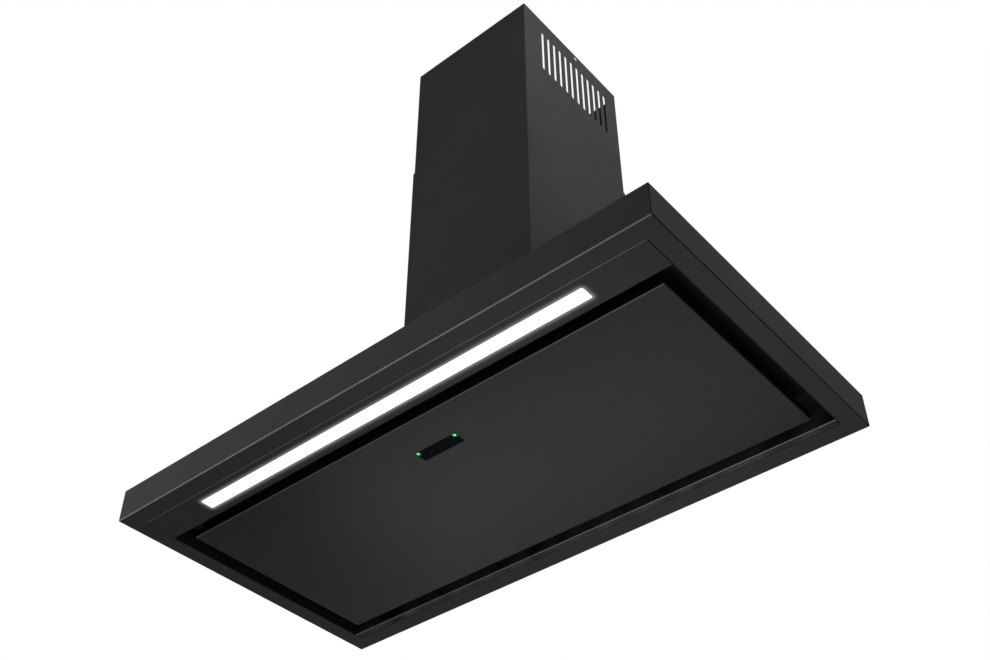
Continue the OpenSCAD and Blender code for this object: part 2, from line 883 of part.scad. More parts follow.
// Places of the scroll's screw ears, on the outline as (y, z)
module at_scroll_ears() {
    for (share = scroll_ear_shares) {
        angle = volute_turn * share;
        reach = volute_r(angle) + scroll_t + scroll_ear_out;
        translate(reach * [sin(angle), cos(angle)]) children();
    }
}

// One half of the scroll: side wall with its inlet, curved wall, neck flange and screw ears
module scroll_half() {
    half_w = scroll_w / 2;
    flange_top = axis_z + neck_top;
    difference() {
        union() {
            on_axis(half_w - scroll_t, scroll_t) difference() {
                polygon(volute(scroll_t, neck_top));
                circle(inlet_r, $fn = round_fn);
            }
            on_axis(half_w, inlet_lip) ring_2d(inlet_r + inlet_lip_w, inlet_r);
            on_axis(0, half_w) difference() {
                polygon(volute(scroll_t, neck_top));
                polygon(volute(0, neck_top + cut));
            }
            on_axis(0, scroll_ear_t) difference() {
                at_scroll_ears() circle(scroll_ear_r, $fn = round_fn / 2);
                polygon(volute(scroll_t / 2, neck_top));
            }
            difference() {
                block([0, axis_y - scroll_r_max - scroll_t - neck_flange, flange_top - neck_flange_t],
                      [half_w + neck_flange,
                       axis_y + neck_w - scroll_r_max + scroll_t + neck_flange, flange_top]);
                block([-cut, axis_y - scroll_r_max - scroll_t / 2, flange_top - neck_flange_t - cut],
                      [half_w - scroll_t / 2,
                       axis_y + neck_w - scroll_r_max + scroll_t / 2, flange_top + cut]);
            }
        }
        on_axis(-cut, scroll_ear_t + 2 * cut)
            at_scroll_ears() circle(scroll_screw_r + screw_play, $fn = round_fn / 2);
        at_collar_screws() translate([0, 0, flange_top - neck_flange_t - cut])
            cylinder(r = collar_screw_r + screw_play, h = neck_flange_t + 2 * cut, $fn = round_fn / 2);
    }
}

module scroll_left() {
    color(scroll_plastic) mirror([1, 0, 0]) scroll_half();
}

module scroll_right() {
    color(scroll_plastic) scroll_half();
}

// Screws that hold the scroll's halves together
module scroll_screws() {
    color(zinc_steel) {
        on_axis(-scroll_ear_t, 2 * scroll_ear_t)
            at_scroll_ears() circle(scroll_screw_r, $fn = round_fn / 2);
        on_axis(scroll_ear_t, cover_head_h) at_scroll_ears() circle(cover_head_r, $fn = round_fn / 2);
    }
}

// Finger guard over the right inlet: rings on spokes
module inlet_guard() {
    rim = inlet_r + inlet_lip_w;
    step = rim / (guard_rings + 0.5);
    color(zinc_steel) on_axis(scroll_w / 2 + inlet_lip, guard_t) {
        for (i = [1 : guard_rings])
            ring_2d(i * step + guard_wire / 2, i * step - guard_wire / 2);
        ring_2d(rim, rim - guard_wire);
        for (i = [0 : guard_spokes - 1])
            rotate(i * 360 / guard_spokes)
                translate([step - guard_wire / 2, -guard_wire / 2]) square([rim - step, guard_wire]);
    }
}

// Three-armed holder that carries the motor in the left inlet
module motor_bracket() {
    x0 = -scroll_w / 2 - inlet_lip - spider_t;
    rim = inlet_r + inlet_lip_w;
    color(zinc_steel) {
        on_axis(x0, spider_t) {
            ring_2d(rim, rim - spider_ring_w);
            for (i = [0 : spider_arms - 1])
                rotate(90 + i * 360 / spider_arms)
                    translate([motor_r + spider_clamp_w / 2, -spider_arm_w / 2])
                        square([rim - motor_r - spider_clamp_w, spider_arm_w]);
        }
        on_axis(x0 - spider_clamp_l / 2, spider_t + spider_clamp_l)
            ring_2d(motor_r + spider_clamp_w, motor_r);
    }
}

// Motor: ribbed can with a bearing nose, bored for its shaft
module motor_body() {
    can_x = -motor_face - motor_nose_l - motor_l;
    color(motor_steel) difference() {
        union() {
            on_axis(can_x, motor_l) circle(motor_r, $fn = 2 * round_fn);
            on_axis(can_x - motor_nose_l, motor_l + 2 * motor_nose_l) circle(motor_nose_r, $fn = round_fn);
        }
        on_axis(can_x - cut, motor_fin_d + cut)
            for (i = [0 : motor_fins - 1])
                rotate(i * 360 / motor_fins)
                    translate([motor_r * motor_fin_start_share, -motor_fin_w / 2])
                        square([motor_r * motor_fin_length_share + cut, motor_fin_w]);
        on_axis(can_x, motor_l + motor_nose_l + cut) circle(shaft_r + run_play, $fn = round_fn);
    }
}

// Start capacitor on the cabinet's side
module capacitor() {
    x1 = cabinet_x - sheet;
    color(opal_white) translate([0, capacitor_y, cabinet_top - capacitor_drop]) {
        along_x(x1 - capacitor_l, capacitor_l - sheet) circle(capacitor_r, $fn = round_fn);
        along_x(x1 - sheet, sheet) circle(capacitor_r / 2, $fn = round_fn);
    }
}

// Duct collar with its foot and the ledge that the flaps close on
module outlet_spigot() {
    ledge_top = flap_z - flap_t / 2 - play;
    color(black_plastic) difference() {
        union() {
            translate([0, duct_y, cabinet_top]) linear_extrude(collar_foot_t)
                ring_2d(collar_foot_r, collar_r - collar_t);
            translate([0, duct_y, cabinet_top]) linear_extrude(collar_h)
                ring_2d(collar_r, collar_r - collar_t);
            translate([0, duct_y, ledge_top - ledge_t]) linear_extrude(ledge_t)
                ring_2d(collar_r - collar_t / 2, collar_r - collar_t - ledge_w);
        }
        at_collar_screws() translate([0, 0, cabinet_top - cut])
            cylinder(r = collar_screw_r + screw_play, h = collar_foot_t + 2 * cut, $fn = round_fn / 2);
        translate([0, duct_y + collar_r + cut, flap_z]) rotate([90, 0, 0])
            cylinder(r = flap_pin_r, h = 2 * (collar_r + cut), $fn = round_fn / 2);
    }
}

// Pin across the collar that both flaps turn on
module flap_pin() {
    half_l = collar_r - collar_t / 2;
    color(zinc_steel) translate([0, duct_y + half_l, flap_z]) rotate([90, 0, 0])
        cylinder(r = flap_pin_r, h = 2 * half_l, $fn = round_fn / 2);
}

// Places of the knuckles along the pin; a flap has every second one
module at_flap_knuckles(first) {
    for (i = [first : 2 : first + 2])
        translate([0, duct_y + (i - 1.5) * flap_knuckle_l, flap_z]) children();
}

// Right check flap: half a disc with knuckles around the pin and stiffening ribs below
module check_flap(first) {
    knuckle_half = (flap_knuckle_l - flap_knuckle_gap) / 2;
    root = flap_knuckle_r + flap_root;
    color(black_plastic) difference() {
        union() {
            translate([0, duct_y, flap_z - flap_t / 2]) linear_extrude(flap_t) intersection() {
                circle(flap_r, $fn = 2 * round_fn);
                translate([root, -flap_r]) square([flap_r, 2 * flap_r]);
            }
            at_flap_knuckles(first) {
                rotate([90, 0, 0]) translate([0, 0, -knuckle_half])
                    cylinder(r = flap_knuckle_r, h = 2 * knuckle_half, $fn = round_fn / 2);
                block([0, -knuckle_half, -flap_t / 2], [root + flap_rib_t, knuckle_half, flap_t / 2]);
            }
            block([root, duct_y - flap_r / 2, flap_z - flap_rib_h],
                  [root + flap_rib_t, duct_y + flap_r / 2, flap_z]);
            block([root, duct_y - flap_rib_t / 2, flap_z - flap_rib_h],
                  [flap_r * flap_rib_share, duct_y + flap_rib_t / 2, flap_z]);
        }
        translate([0, duct_y + flap_r + cut, flap_z]) rotate([90, 0, 0])
            cylinder(r = flap_pin_r + run_play, h = 2 * (flap_r + cut), $fn = round_fn / 2);
    }
}

module flap_right() {
    check_flap(0);
}

module flap_left() {
    mirror([1, 0, 0]) check_flap(1);
}

// Gland for the mains lead in the cabinet's roof
module cable_gland() {
    translate([cabinet_x * gland_x_share, -gland_back, cabinet_top])
        color(black_plastic) difference() {
            union() {
                translate([0, 0, -gland_thread_l])
                    cylinder(r = gland_body_r, h = gland_thread_l, $fn = round_fn);
                cylinder(r = gland_hex_r, h = gland_hex_h, $fn = 6);
                translate([0, 0, gland_hex_h])
                    cylinder(r1 = gland_hex_r * gland_dome_share, r2 = gland_r * gland_mouth_share,
                             h = gland_dome_h, $fn = round_fn);
                translate([0, 0, -sheet - gland_hex_h]) cylinder(r = gland_hex_r, h = gland_hex_h, $fn = 6);
            }
            translate([0, 0, -gland_thread_l - cut])
                cylinder(r = gland_r, h = gland_thread_l + gland_hex_h + gland_dome_h + 2 * cut,
                         $fn = round_fn);
        }
}

// Folded cover: front and two sides, open towards the wall between two narrow flanges
module cover_shell(half_w, front, back, z0, z1) {
    difference() {
        translate([0, 0, z0]) linear_extrude(z1 - z0)
            round_rect([-half_w, front], [half_w, back], cover_bend_r);
        translate([0, 0, z0 - cut]) linear_extrude(z1 - z0 + 2 * cut)
            round_rect([cover_t - half_w, front + cover_t], [half_w - cover_t, back - cover_t],
                       cover_bend_r - cover_t);
        block([-flange_edge, back - 2 * cover_t, z0 - cut], [flange_edge, back + cut, z1 + cut]);
    }
}

// Lower duct cover, standing on the canopy
module lower_chimney() {
    color(black_cover) cover_shell(chimney_w / 2, -chimney_d, 0, hood_h, lower_top);
}

// Angle clips that hold the lower cover on the canopy
module chimney_clips() {
    x1 = chimney_w / 2 - cover_t;
    color(zinc_steel) both_sides() {
        block([x1 - bracket_t, clip_y - clip_w / 2, hood_h], [x1, clip_y + clip_w / 2, hood_h + clip_h]);
        block([x1 - clip_foot, clip_y - clip_w / 2, hood_h], [x1, clip_y + clip_w / 2, hood_h + bracket_t]);
    }
}

// Screws of the cabinet's foot and of the duct collar
module hood_screws() {
    color(zinc_steel) {
        at_foot_screws() translate([0, 0, hood_h + sheet])
            screw(foot_screw_r, foot_screw_l, foot_head_r, foot_head_h);
        at_collar_screws() translate([0, 0, cabinet_top + collar_foot_t])
            screw(collar_screw_r, collar_screw_l, 2 * collar_screw_r, collar_screw_r);
    }
}

// Impeller: two rows of forward-curved blades on one middle plate, with end rings and a hub
module impeller() {
    half_l = blade_l + wheel_plate_t / 2;
    color(wheel_plastic) difference() {
        union() {
            on_axis(-half_l, 2 * half_l)
                for (i = [0 : blade_count - 1])
                    rotate(i * 360 / blade_count) polygon(blade_outline());
            for (x = [-half_l, half_l - wheel_ring_t])
                on_axis(x, wheel_ring_t) ring_2d(impeller_r, impeller_r - wheel_ring_w);
            on_axis(-wheel_plate_t / 2, wheel_plate_t) circle(impeller_r, $fn = 2 * round_fn);
            on_axis(-wheel_hub_l / 2, wheel_hub_l) circle(wheel_hub_r, $fn = round_fn);
        }
        on_axis(-wheel_hub_l / 2 - cut, wheel_hub_l + 2 * cut) circle(shaft_r, $fn = round_fn);
    }
}

// Middle line of a blade: it leans forward with the square of the way out from its root
function blade_point(share, side) =
    let (r = impeller_r - blade_in + (blade_in - blade_out) * share,
         lean = -blade_sweep * share * share,
         half = side * blade_t / 2)
    [r * cos(lean) - half * sin(lean), r * sin(lean) + half * cos(lean)];

// Outline of a blade: out along one side and back along the other
function blade_outline() = concat(
    [for (i = [0 : blade_steps]) blade_point(i / blade_steps, -1)],
    [for (i = [blade_steps : -1 : 0]) blade_point(i / blade_steps, 1)]
);

// Shaft that turns in the motor and carries the impeller
module motor_shaft() {
    x0 = -motor_face - motor_nose_l - motor_l + shaft_end;
    x1 = wheel_hub_l / 2 + shaft_end;
    color(zinc_steel) on_axis(x0, x1 - x0) circle(shaft_r, $fn = round_fn);
}

// Upper duct cover with a row of air slots on each side
module upper_chimney() {
    slot_top = chimney_top - slot_drop;
    color(black_cover) difference() {
        cover_shell(upper_x, upper_front, upper_back, upper_bottom, chimney_top);
        for (i = [0 : slot_count - 1])
            translate([0, -slot_back - i * slot_pitch, slot_top])
                along_x(-upper_x - cut, 2 * (upper_x + cut)) {
                    translate([0, -slot_w / 2]) circle(slot_w / 2, $fn = round_fn / 2);
                    translate([-slot_w / 2, slot_w / 2 - slot_l]) square([slot_w, slot_l - slot_w]);
                    translate([0, slot_w / 2 - slot_l]) circle(slot_w / 2, $fn = round_fn / 2);
                }
        translate([0, -cover_screw_back, chimney_top - cover_screw_drop])
            along_x(-upper_x - cut, 2 * (upper_x + cut))
                circle(cover_screw_r + screw_play, $fn = round_fn / 2);
    }
}

// Wall bracket inside the upper cover: wall plate with bosses and two arms to the cover screws
module chimney_bracket() {
    x1 = upper_x - cover_t;
    z1 = chimney_top - bracket_drop;
    hole_z = z1 - bracket_h / 2;
    color(black_cover) difference() {
        union() {
            block([bracket_bend_r - x1, bracket_back - bracket_t, z1 - bracket_h],
                  [x1 - bracket_bend_r, bracket_back, z1]);
            translate([0, 0, z1 - arm_h]) linear_extrude(arm_h) bracket_plan(x1);
            both_sides()
                translate([bracket_hole_w / 2, 0, hole_z]) rotate([90, 0, 0])
                    cylinder(r = boss_r, h = -bracket_back, $fn = round_fn / 2);
        }
        for (side = [-1, 1])
            translate([side * bracket_hole_w / 2, cut, hole_z]) rotate([90, 0, 0])
                cylinder(r = bracket_hole_r, h = bracket_t - bracket_back + 2 * cut, $fn = round_fn / 2);
        translate([0, -cover_screw_back, chimney_top - cover_screw_drop])
            along_x(-x1 - cut, 2 * (x1 + cut)) circle(cover_screw_r + screw_play, $fn = round_fn / 2);
    }
}

// Folded strip that makes the bracket's back and its two arms, seen from above
module bracket_plan(x1) {
    difference() {
        round_rect([-x1, -arm_reach - x1], [x1, bracket_back], bracket_bend_r);
        round_rect([bracket_t - x1, -arm_reach - 2 * x1], [x1 - bracket_t, bracket_back - bracket_t],
                   bracket_bend_r - bracket_t);
        translate([-x1 - cut, -arm_reach - 2 * x1]) square([2 * (x1 + cut), 2 * x1]);
    }
}

// Screws that hold the upper cover to the bracket's arms
module chimney_screws() {
    color(zinc_steel) both_sides()
        translate([upper_x, -cover_screw_back, chimney_top - cover_screw_drop]) rotate([0, 90, 0])
            screw(cover_screw_r, cover_screw_l, cover_head_r, cover_head_h);
}

// Suction panel's skin: shallow pan with turned-up edges and the sensor's opening
module panel_skin() {
    wall = [panel_t, panel_t, 0];
    low = [-panel_x, panel_y0, 0];
    high = [panel_x, panel_y1, panel_h];
    color(black_steel) difference() {
        block(low, high);
        block(low + wall + [0, 0, panel_t], high - wall + [0, 0, cut]);
        sensor_block(play, -cut, panel_t + cut);
    }
}

// The sensor's window outline, grown, between two heights
module sensor_block(grow, z0, z1) {
    block([sensor_x - sensor_w / 2 - grow, sensor_y - sensor_d / 2 - grow, z0],
          [sensor_x + sensor_w / 2 + grow, sensor_y + sensor_d / 2 + grow, z1]);
}

// Brace behind the panel's skin: a hat-shaped ring that keeps it flat
module panel_brace() {
    x1 = panel_x - brace_inset;
    y0 = sensor_y + sensor_d / 2 + brace_inset;
    y1 = hinge_y - leaf_foot_l - brace_t;
    color(zinc_steel) translate([0, 0, panel_t]) difference() {
        block([-x1, y0, 0], [x1, y1, brace_h]);
        block([brace_w - x1, y0 + brace_w, -cut], [x1 - brace_w, y1 - brace_w, brace_h + cut]);
        difference() {
            block([brace_t - x1, y0 + brace_t, -cut], [x1 - brace_t, y1 - brace_t, brace_h - brace_t]);
            block([brace_w - brace_t - x1, y0 + brace_w - brace_t, -2 * cut],
                  [x1 - brace_w + brace_t, y1 - brace_w + brace_t, brace_h]);
        }
    }
}

// Moving half of each hinge: a knuckle on the pin, a web and a foot on the panel
module hinge_leaves() {
    color(zinc_steel)
        for (side = [-1, 1])
            translate([side * hinge_x, hinge_y, hinge_z])
                difference() {
                    union() {
                        along_x(-knuckle_l / 2, knuckle_l) circle(knuckle_r, $fn = round_fn);
                        block([-knuckle_l / 2, -leaf_t / 2, panel_t - hinge_z],
                              [knuckle_l / 2, leaf_t / 2, 0]);
                        block([-knuckle_l / 2, -leaf_foot_l, panel_t - hinge_z],
                              [knuckle_l / 2, leaf_t / 2, panel_t - hinge_z + leaf_foot_t]);
                    }
                    along_x(-knuckle_l / 2 - cut, knuckle_l + 2 * cut)
                        circle(pin_r + run_play, $fn = round_fn);
                }
}

// Steel strikers on their posts, under the magnets
module catch_strikers() {
    color(magnet_grey)
        for (side = [-1, 1])
            translate([side * striker_x, striker_y, panel_t]) {
                block([striker_t - striker_w / 2, striker_t - striker_d / 2, 0],
                      [striker_w / 2 - striker_t, striker_d / 2 - striker_t, striker_post]);
                block([-striker_w / 2, -striker_d / 2, striker_post],
                      [striker_w / 2, striker_d / 2, striker_post + striker_t]);
            }
}

// Places of the two indicators, near the window's front edge
module at_lenses() {
    for (side = [-1, 1])
        translate([sensor_x + side * lens_span / 2, sensor_y - sensor_d / 2 + lens_inset, 0]) children();
}

// Dark window, flush with the panel's skin, with a lip behind it
module sensor_window() {
    color(dark_glass) difference() {
        union() {
            sensor_block(0, 0, panel_t);
            sensor_block(window_lip, panel_t, panel_t + window_lip_t);
        }
        at_lenses() translate([0, 0, -cut])
            cylinder(r = lens_r + run_play, h = panel_t + window_lip_t + 2 * cut, $fn = round_fn / 2);
    }
}

// Moulded housing over the sensor
module sensor_housing() {
    z1 = panel_t + housing_h;
    color(black_plastic) difference() {
        sensor_block(housing_room + housing_wall, panel_t, z1);
        sensor_block(housing_room, panel_t - cut, z1 - housing_wall);
    }
    color(black_plastic)
        for (sx = [-1, 1])
            for (sy = [-1, 1])
                translate([sensor_x + sx * (sensor_w / 2), sensor_y + sy * (sensor_d / 2),
                           panel_t + board_up + board_t])
                    cylinder(r = lens_r, h = housing_h - housing_wall - board_up - board_t,
                             $fn = round_fn / 2);
}

// Sensor's board on the housing's posts
module sensor_board() {
    color(board_green)
        sensor_block(housing_room - 2 * play, panel_t + board_up, panel_t + board_up + board_t);
}

// Light pipes of the two green indicators
module indicator_lenses() {
    color(lamp_green) at_lenses() cylinder(r = lens_r, h = panel_t + board_up, $fn = round_fn / 2);
}

canopy_shell();
light_rail();
back_rail();
recess_tray();
light_channel();
led_board();
light_diffuser();
led_driver();
control_box();
control_lid();
control_board();
hinge_brackets();
hinge_pins();
panel_catches();
filter_frame_left();
filter_frame_right();
filter_mesh_left();
filter_mesh_right();
blower_cabinet();
scroll_left();
scroll_right();
scroll_screws();
inlet_guard();
motor_bracket();
motor_body();
capacitor();
outlet_spigot();
flap_pin();
cable_gland();
lower_chimney();
chimney_clips();
hood_screws();
impeller();
motor_shaft();
flap_left();
flap_right();
upper_chimney();
chimney_bracket();
chimney_screws();
panel_skin();
panel_brace();
hinge_leaves();
catch_strikers();
sensor_window();
sensor_housing();
sensor_board();
indicator_lenses();
filter_latch_left();
filter_latch_right();
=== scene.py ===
"""Looks of a wall chimney hood: slim black canopy, suction panel, light strip, blower and telescopic duct cover.

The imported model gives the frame, and every piece made here takes the place of one of its nodes or dresses it.
Lengths are in millimetres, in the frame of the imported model: X to the right, Y into the wall, Z up.
"""
import logging
import math
from dataclasses import dataclass
from enum import Enum
from functools import cached_property
from typing import ClassVar

import bpy
import numpy as np
from mathutils import Matrix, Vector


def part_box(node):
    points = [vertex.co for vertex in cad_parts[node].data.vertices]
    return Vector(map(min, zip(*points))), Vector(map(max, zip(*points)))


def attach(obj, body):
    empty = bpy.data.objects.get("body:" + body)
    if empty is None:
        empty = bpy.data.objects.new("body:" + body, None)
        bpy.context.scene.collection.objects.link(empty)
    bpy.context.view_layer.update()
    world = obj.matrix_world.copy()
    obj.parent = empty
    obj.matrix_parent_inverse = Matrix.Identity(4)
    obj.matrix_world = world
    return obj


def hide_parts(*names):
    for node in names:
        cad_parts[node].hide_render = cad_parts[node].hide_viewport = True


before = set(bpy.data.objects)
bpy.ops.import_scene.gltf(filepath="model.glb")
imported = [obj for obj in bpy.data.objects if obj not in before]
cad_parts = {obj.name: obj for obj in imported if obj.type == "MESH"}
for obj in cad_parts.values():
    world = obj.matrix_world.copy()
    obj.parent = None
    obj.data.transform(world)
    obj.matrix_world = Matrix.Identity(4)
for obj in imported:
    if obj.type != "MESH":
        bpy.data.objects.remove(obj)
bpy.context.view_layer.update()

MM = 0.001
# Points are rounded to this many steps of a millimetre before equal ones are merged.
MERGE_STEPS = 2000.0
# Places along an outline are one and the same if they agree to this many decimals.
DECIMALS = 5
# An extra point this far from a bend keeps the flats flat in the shading.
BRINK = 0.3
# A box that picks faces reaches this far past the sheet.
MARGIN = 1.0
# Radius of a corner that is drawn as sharp.
SHARP = 0.01
FOLD_FACETS = 5
HOLE_FACETS = 6
CORNER_FACETS = 4
LOG = logging.getLogger("hood")

Array = np.ndarray
Point = tuple[float, float, float]
# Lowest and highest x, then lowest and highest y.
Rect = tuple[float, float, float, float]
Box = tuple[Point, Point]
Gaps = tuple[Box, ...]
Outline = tuple[Array, Array]
Node = bpy.types.Node
Socket = bpy.types.NodeSocket
Source = Node | Socket
Links = dict[int | str, Source]

# The light's window in the front rail.
LIGHT: Rect = (-325.0, 325.0, -437.5, -417.5)


class Side(Enum):
    """Which way a grid of points faces."""

    AS_DRAWN = 1
    REVERSED = -1


class Axis(Enum):
    """The axis that an outline is carried along."""

    X = 0
    Z = 2


class Streak(Enum):
    """The direction of rolling or brushing, as the share that the pattern is drawn out along X, Y and Z."""

    ALONG_X = (0.02, 1.0, 1.0)
    NONE = (1.0, 1.0, 1.0)


def inside(points: Array, box: Box) -> Array:
    """Returns for each point whether it lies in a box."""
    return np.all((points > np.array(box[0])) & (points < np.array(box[1])), axis=-1)


def put(data: bpy.types.ID, stance: Matrix = Matrix.Identity(4)) -> bpy.types.Object:
    """Puts a mesh, lamp or camera into the scene.

    Args:
        data: the mesh, lamp or camera, whose name the object takes.
        stance: its place and how it is turned.

    Returns:
        The object.
    """
    obj = bpy.data.objects.new(data.name, data)
    bpy.context.scene.collection.objects.link(obj)
    obj.matrix_world = stance
    return obj


class Skin:
    """Grids of points in millimetres that are merged into one closed mesh in metres."""

    def __init__(self) -> None:
        """Starts with no points."""
        self.points: list[Array] = []
        self.faces: list[Array] = []
        self.marks: list[Array] = []

    def grid(self, rows: Array, side: Side = Side.AS_DRAWN, around: bool = False, gaps: Gaps = ()) -> None:
        """Adds the quads between neighbouring rows and columns.

        A quad's normal is the direction along a row, crossed with the direction from one row to the next.

        Args:
            rows: points as rows x columns x 3.
            side: whether the quads face as drawn or the other way.
            around: joins the last column to the first.
            gaps: boxes in which no quad is made, by the quad's middle.
        """
        m, n = rows.shape[:2]
        index = np.arange(m * n).reshape(m, n)
        if around:
            index = np.concatenate([index, index[:, :1]], axis=1)
        quads = np.stack([index[:-1, :-1], index[:-1, 1:], index[1:, 1:], index[1:, :-1]], axis=-1).reshape(-1, 4)
        flat = rows.reshape(-1, 3)
        for box in gaps:
            quads = quads[~inside(flat[quads].mean(axis=1), box)]
        if side is Side.REVERSED:
            quads = quads[:, ::-1]
        self.faces.append(quads + sum(map(len, self.points)))
        self.points.append(flat)
        self.marks.append(np.zeros(len(quads), int))

    def ladder(self, first: Array, second: Array, side: Side = Side.AS_DRAWN, around: bool = False) -> None:
        """Adds one row of quads between two lines of as many points, as grid does."""
        self.grid(np.stack([first, second]), side, around)

    def paint(self, box: Box, mark: int) -> None:
        """Gives the finish of that number to the faces whose middle lies in a box.

        Args:
            box: lowest and highest corner of the box.
            mark: number of the finish.
        """
        points = np.concatenate(self.points)
        for faces, marks in zip(self.faces, self.marks):
            marks[inside(points[faces].mean(axis=1), box)] = mark

    def mesh(self, name: str, smooth_degrees: float = 32.0) -> bpy.types.Mesh:
        """Merges equal points, drops empty faces and makes the mesh.

        Args:
            name: name of the mesh.
            smooth_degrees: a sharper edge than this stays sharp.

        Returns:
            The mesh, in metres.
        """
        points, faces, marks = map(np.concatenate, (self.points, self.faces, self.marks))
        keys = np.round(points * MERGE_STEPS).astype(np.int64)
        _, first, back = np.unique(keys, axis=0, return_index=True, return_inverse=True)
        faces = back.reshape(-1)[faces]
        same = faces == np.roll(faces, -1, axis=1)
        sound = (same.sum(axis=1) <= 1) & (faces[:, 0] != faces[:, 2]) & (faces[:, 1] != faces[:, 3])
        faces, marks, same = faces[sound], marks[sound], same[sound]
        ends = np.cumsum(4 - same.sum(axis=1))
        mesh = bpy.data.meshes.new(name)
        mesh.vertices.add(len(first))
        mesh.vertices.foreach_set("co", (points[first] * MM).astype(np.float32).ravel())
        mesh.loops.add(ends[-1])
        mesh.loops.foreach_set("vertex_index", faces[~same].astype(np.int32))
        mesh.polygons.add(len(faces))
        mesh.polygons.foreach_set("loop_start", np.concatenate([[0], ends[:-1]]).astype(np.int32))
        mesh.polygons.foreach_set("material_index", marks.astype(np.int32))
        mesh.update(calc_edges=True)
        mesh.validate()
        mesh.polygons.foreach_set("use_smooth", np.ones(len(mesh.polygons), bool))
        mesh.set_sharp_from_angle(angle=math.radians(smooth_degrees))
        return mesh


def fold(path: list[tuple[float, float]], thickness: float, bend: float, cuts: dict[int, Array]) -> Outline:
    """Works out the outline of a folded sheet from the corners of its outer face.

    Each corner turns right by a right angle. It is a quarter circle of the bend radius on the outer face and of
    the bend radius less the thickness on the inner face, about the same centre: centre + r * (n cos a + d sin a),
    with a from 0 to 90 degrees, the direction d along the leg and n away from the sheet.

    Args:
        path: corners of the outer face, with the sheet to the right of the path.
        thickness: thickness of the sheet.
        bend: outer radius of each bend.
        cuts: extra points on a leg of the path, as distances from its start.

    Returns:
        The outer face's points and the inner face's points.
    """
    corner = np.array(path, float)
    along = np.diff(corner, axis=0)
    along = along / np.linalg.norm(along, axis=1, keepdims=True)
    right = np.stack([along[:, 1], -along[:, 0]], axis=1)
    turn = np.linspace(0.0, math.pi / 2, FOLD_FACETS + 1)[:, None]
    outer, inner = [corner[:1]], [corner[:1] + right[:1] * thickness]
    for leg, (ahead, aside) in enumerate(zip(along, right)):
        flat = corner[leg] + cuts.get(leg, np.empty(0))[:, None] * ahead
        if leg == len(along) - 1:
            flat = np.concatenate([flat, corner[-1:]])
        outer.append(flat)
        inner.append(flat + aside * thickness)
        if leg < len(along) - 1:
            onward = along[leg + 1]
            centre = corner[leg + 1] - ahead * bend + onward * bend
            for radius, line in ((bend, outer), (bend - thickness, inner)):
                arc = centre + radius * (-aside * np.cos(turn) + ahead * np.sin(turn))
                line.append(np.concatenate([arc[:1] - ahead * BRINK, arc, arc[-1:] + onward * BRINK]))
    return np.concatenate(outer), np.concatenate(inner)


def carry(outline: Outline, stations: Array, axis: Axis, gaps: Gaps = ()) -> Skin:
    """Carries a folded sheet's outline along an axis and closes its ends.

    Args:
        outline: what fold returns, as (y, z) for the X axis or (x, y) for the Z axis.
        stations: places along the axis.
        axis: the axis.
        gaps: boxes that are left open for windows.

    Returns:
        The skin, closed but for its gaps.
    """
    def place(line: Array) -> Array:
        """Returns an outline's points at every station, as points x stations x 3."""
        u, v, s = np.broadcast_arrays(line[:, :1], line[:, 1:], stations)
        return np.stack([s, u, v] if axis is Axis.X else [u, v, s], axis=-1)

    out, back = map(place, outline)
    skin = Skin()
    skin.grid(out, gaps=gaps)
    skin.grid(back, Side.REVERSED, gaps=gaps)
    skin.ladder(out[0], back[0], Side.REVERSED)
    skin.ladder(out[-1], back[-1])
    skin.ladder(out[:, 0], back[:, 0])
    skin.ladder(out[:, -1], back[:, -1], Side.REVERSED)
    return skin


def corners(rect: Rect, inset: float) -> Array:
    """Returns the corners of a rectangle that is drawn in by an inset, counter-clockwise from the lowest."""
    x0, x1, y0, y1 = rect[0] + inset, rect[1] - inset, rect[2] + inset, rect[3] - inset
    return np.array([[x0, y0], [x1, y0], [x1, y1], [x0, y1]])


def quarter(k: int, facets: int) -> Array:
    """Returns (cos a, sin a) for corner k of a rectangle, with a from 180 + 90 k to 270 + 90 k degrees."""
    a = math.pi + k * math.pi / 2 + np.linspace(0.0, math.pi / 2, facets + 1)
    return np.stack([np.cos(a), np.sin(a)], axis=1)


def window(rect: Rect, hole: Rect, radius: float) -> tuple[Array, Array]:
    """Works out two closed lines of as many points: a rectangle, and a round-cornered hole in it.

    Corner k of the hole runs through centre + r * (cos a, sin a), as quarter gives them. The first half of its
    points faces the rectangle's side before the corner, and the second half the side after it.

    Args:
        rect: the rectangle.
        hole: the hole.
        radius: radius of the hole's corners.

    Returns:
        The rectangle's points and the hole's points, n x 2, counter-clockwise.
    """
    share = np.linspace(0.0, 1.0, HOLE_FACETS // 2 + 1)[:, None]
    outer, inner = [], []
    for k, (end, centre) in enumerate(zip(corners(rect, 0.0), corners(hole, radius))):
        inner.append(centre + radius * quarter(k, HOLE_FACETS))
        sides = [np.array([end[0], centre[1]]), np.array([centre[0], end[1]])]
        before, after = sides[::-1] if k % 2 else sides
        outer.append(np.concatenate([before + (end - before) * share, (end + (after - end) * share)[1:]]))
    return np.concatenate(outer), np.concatenate(inner)


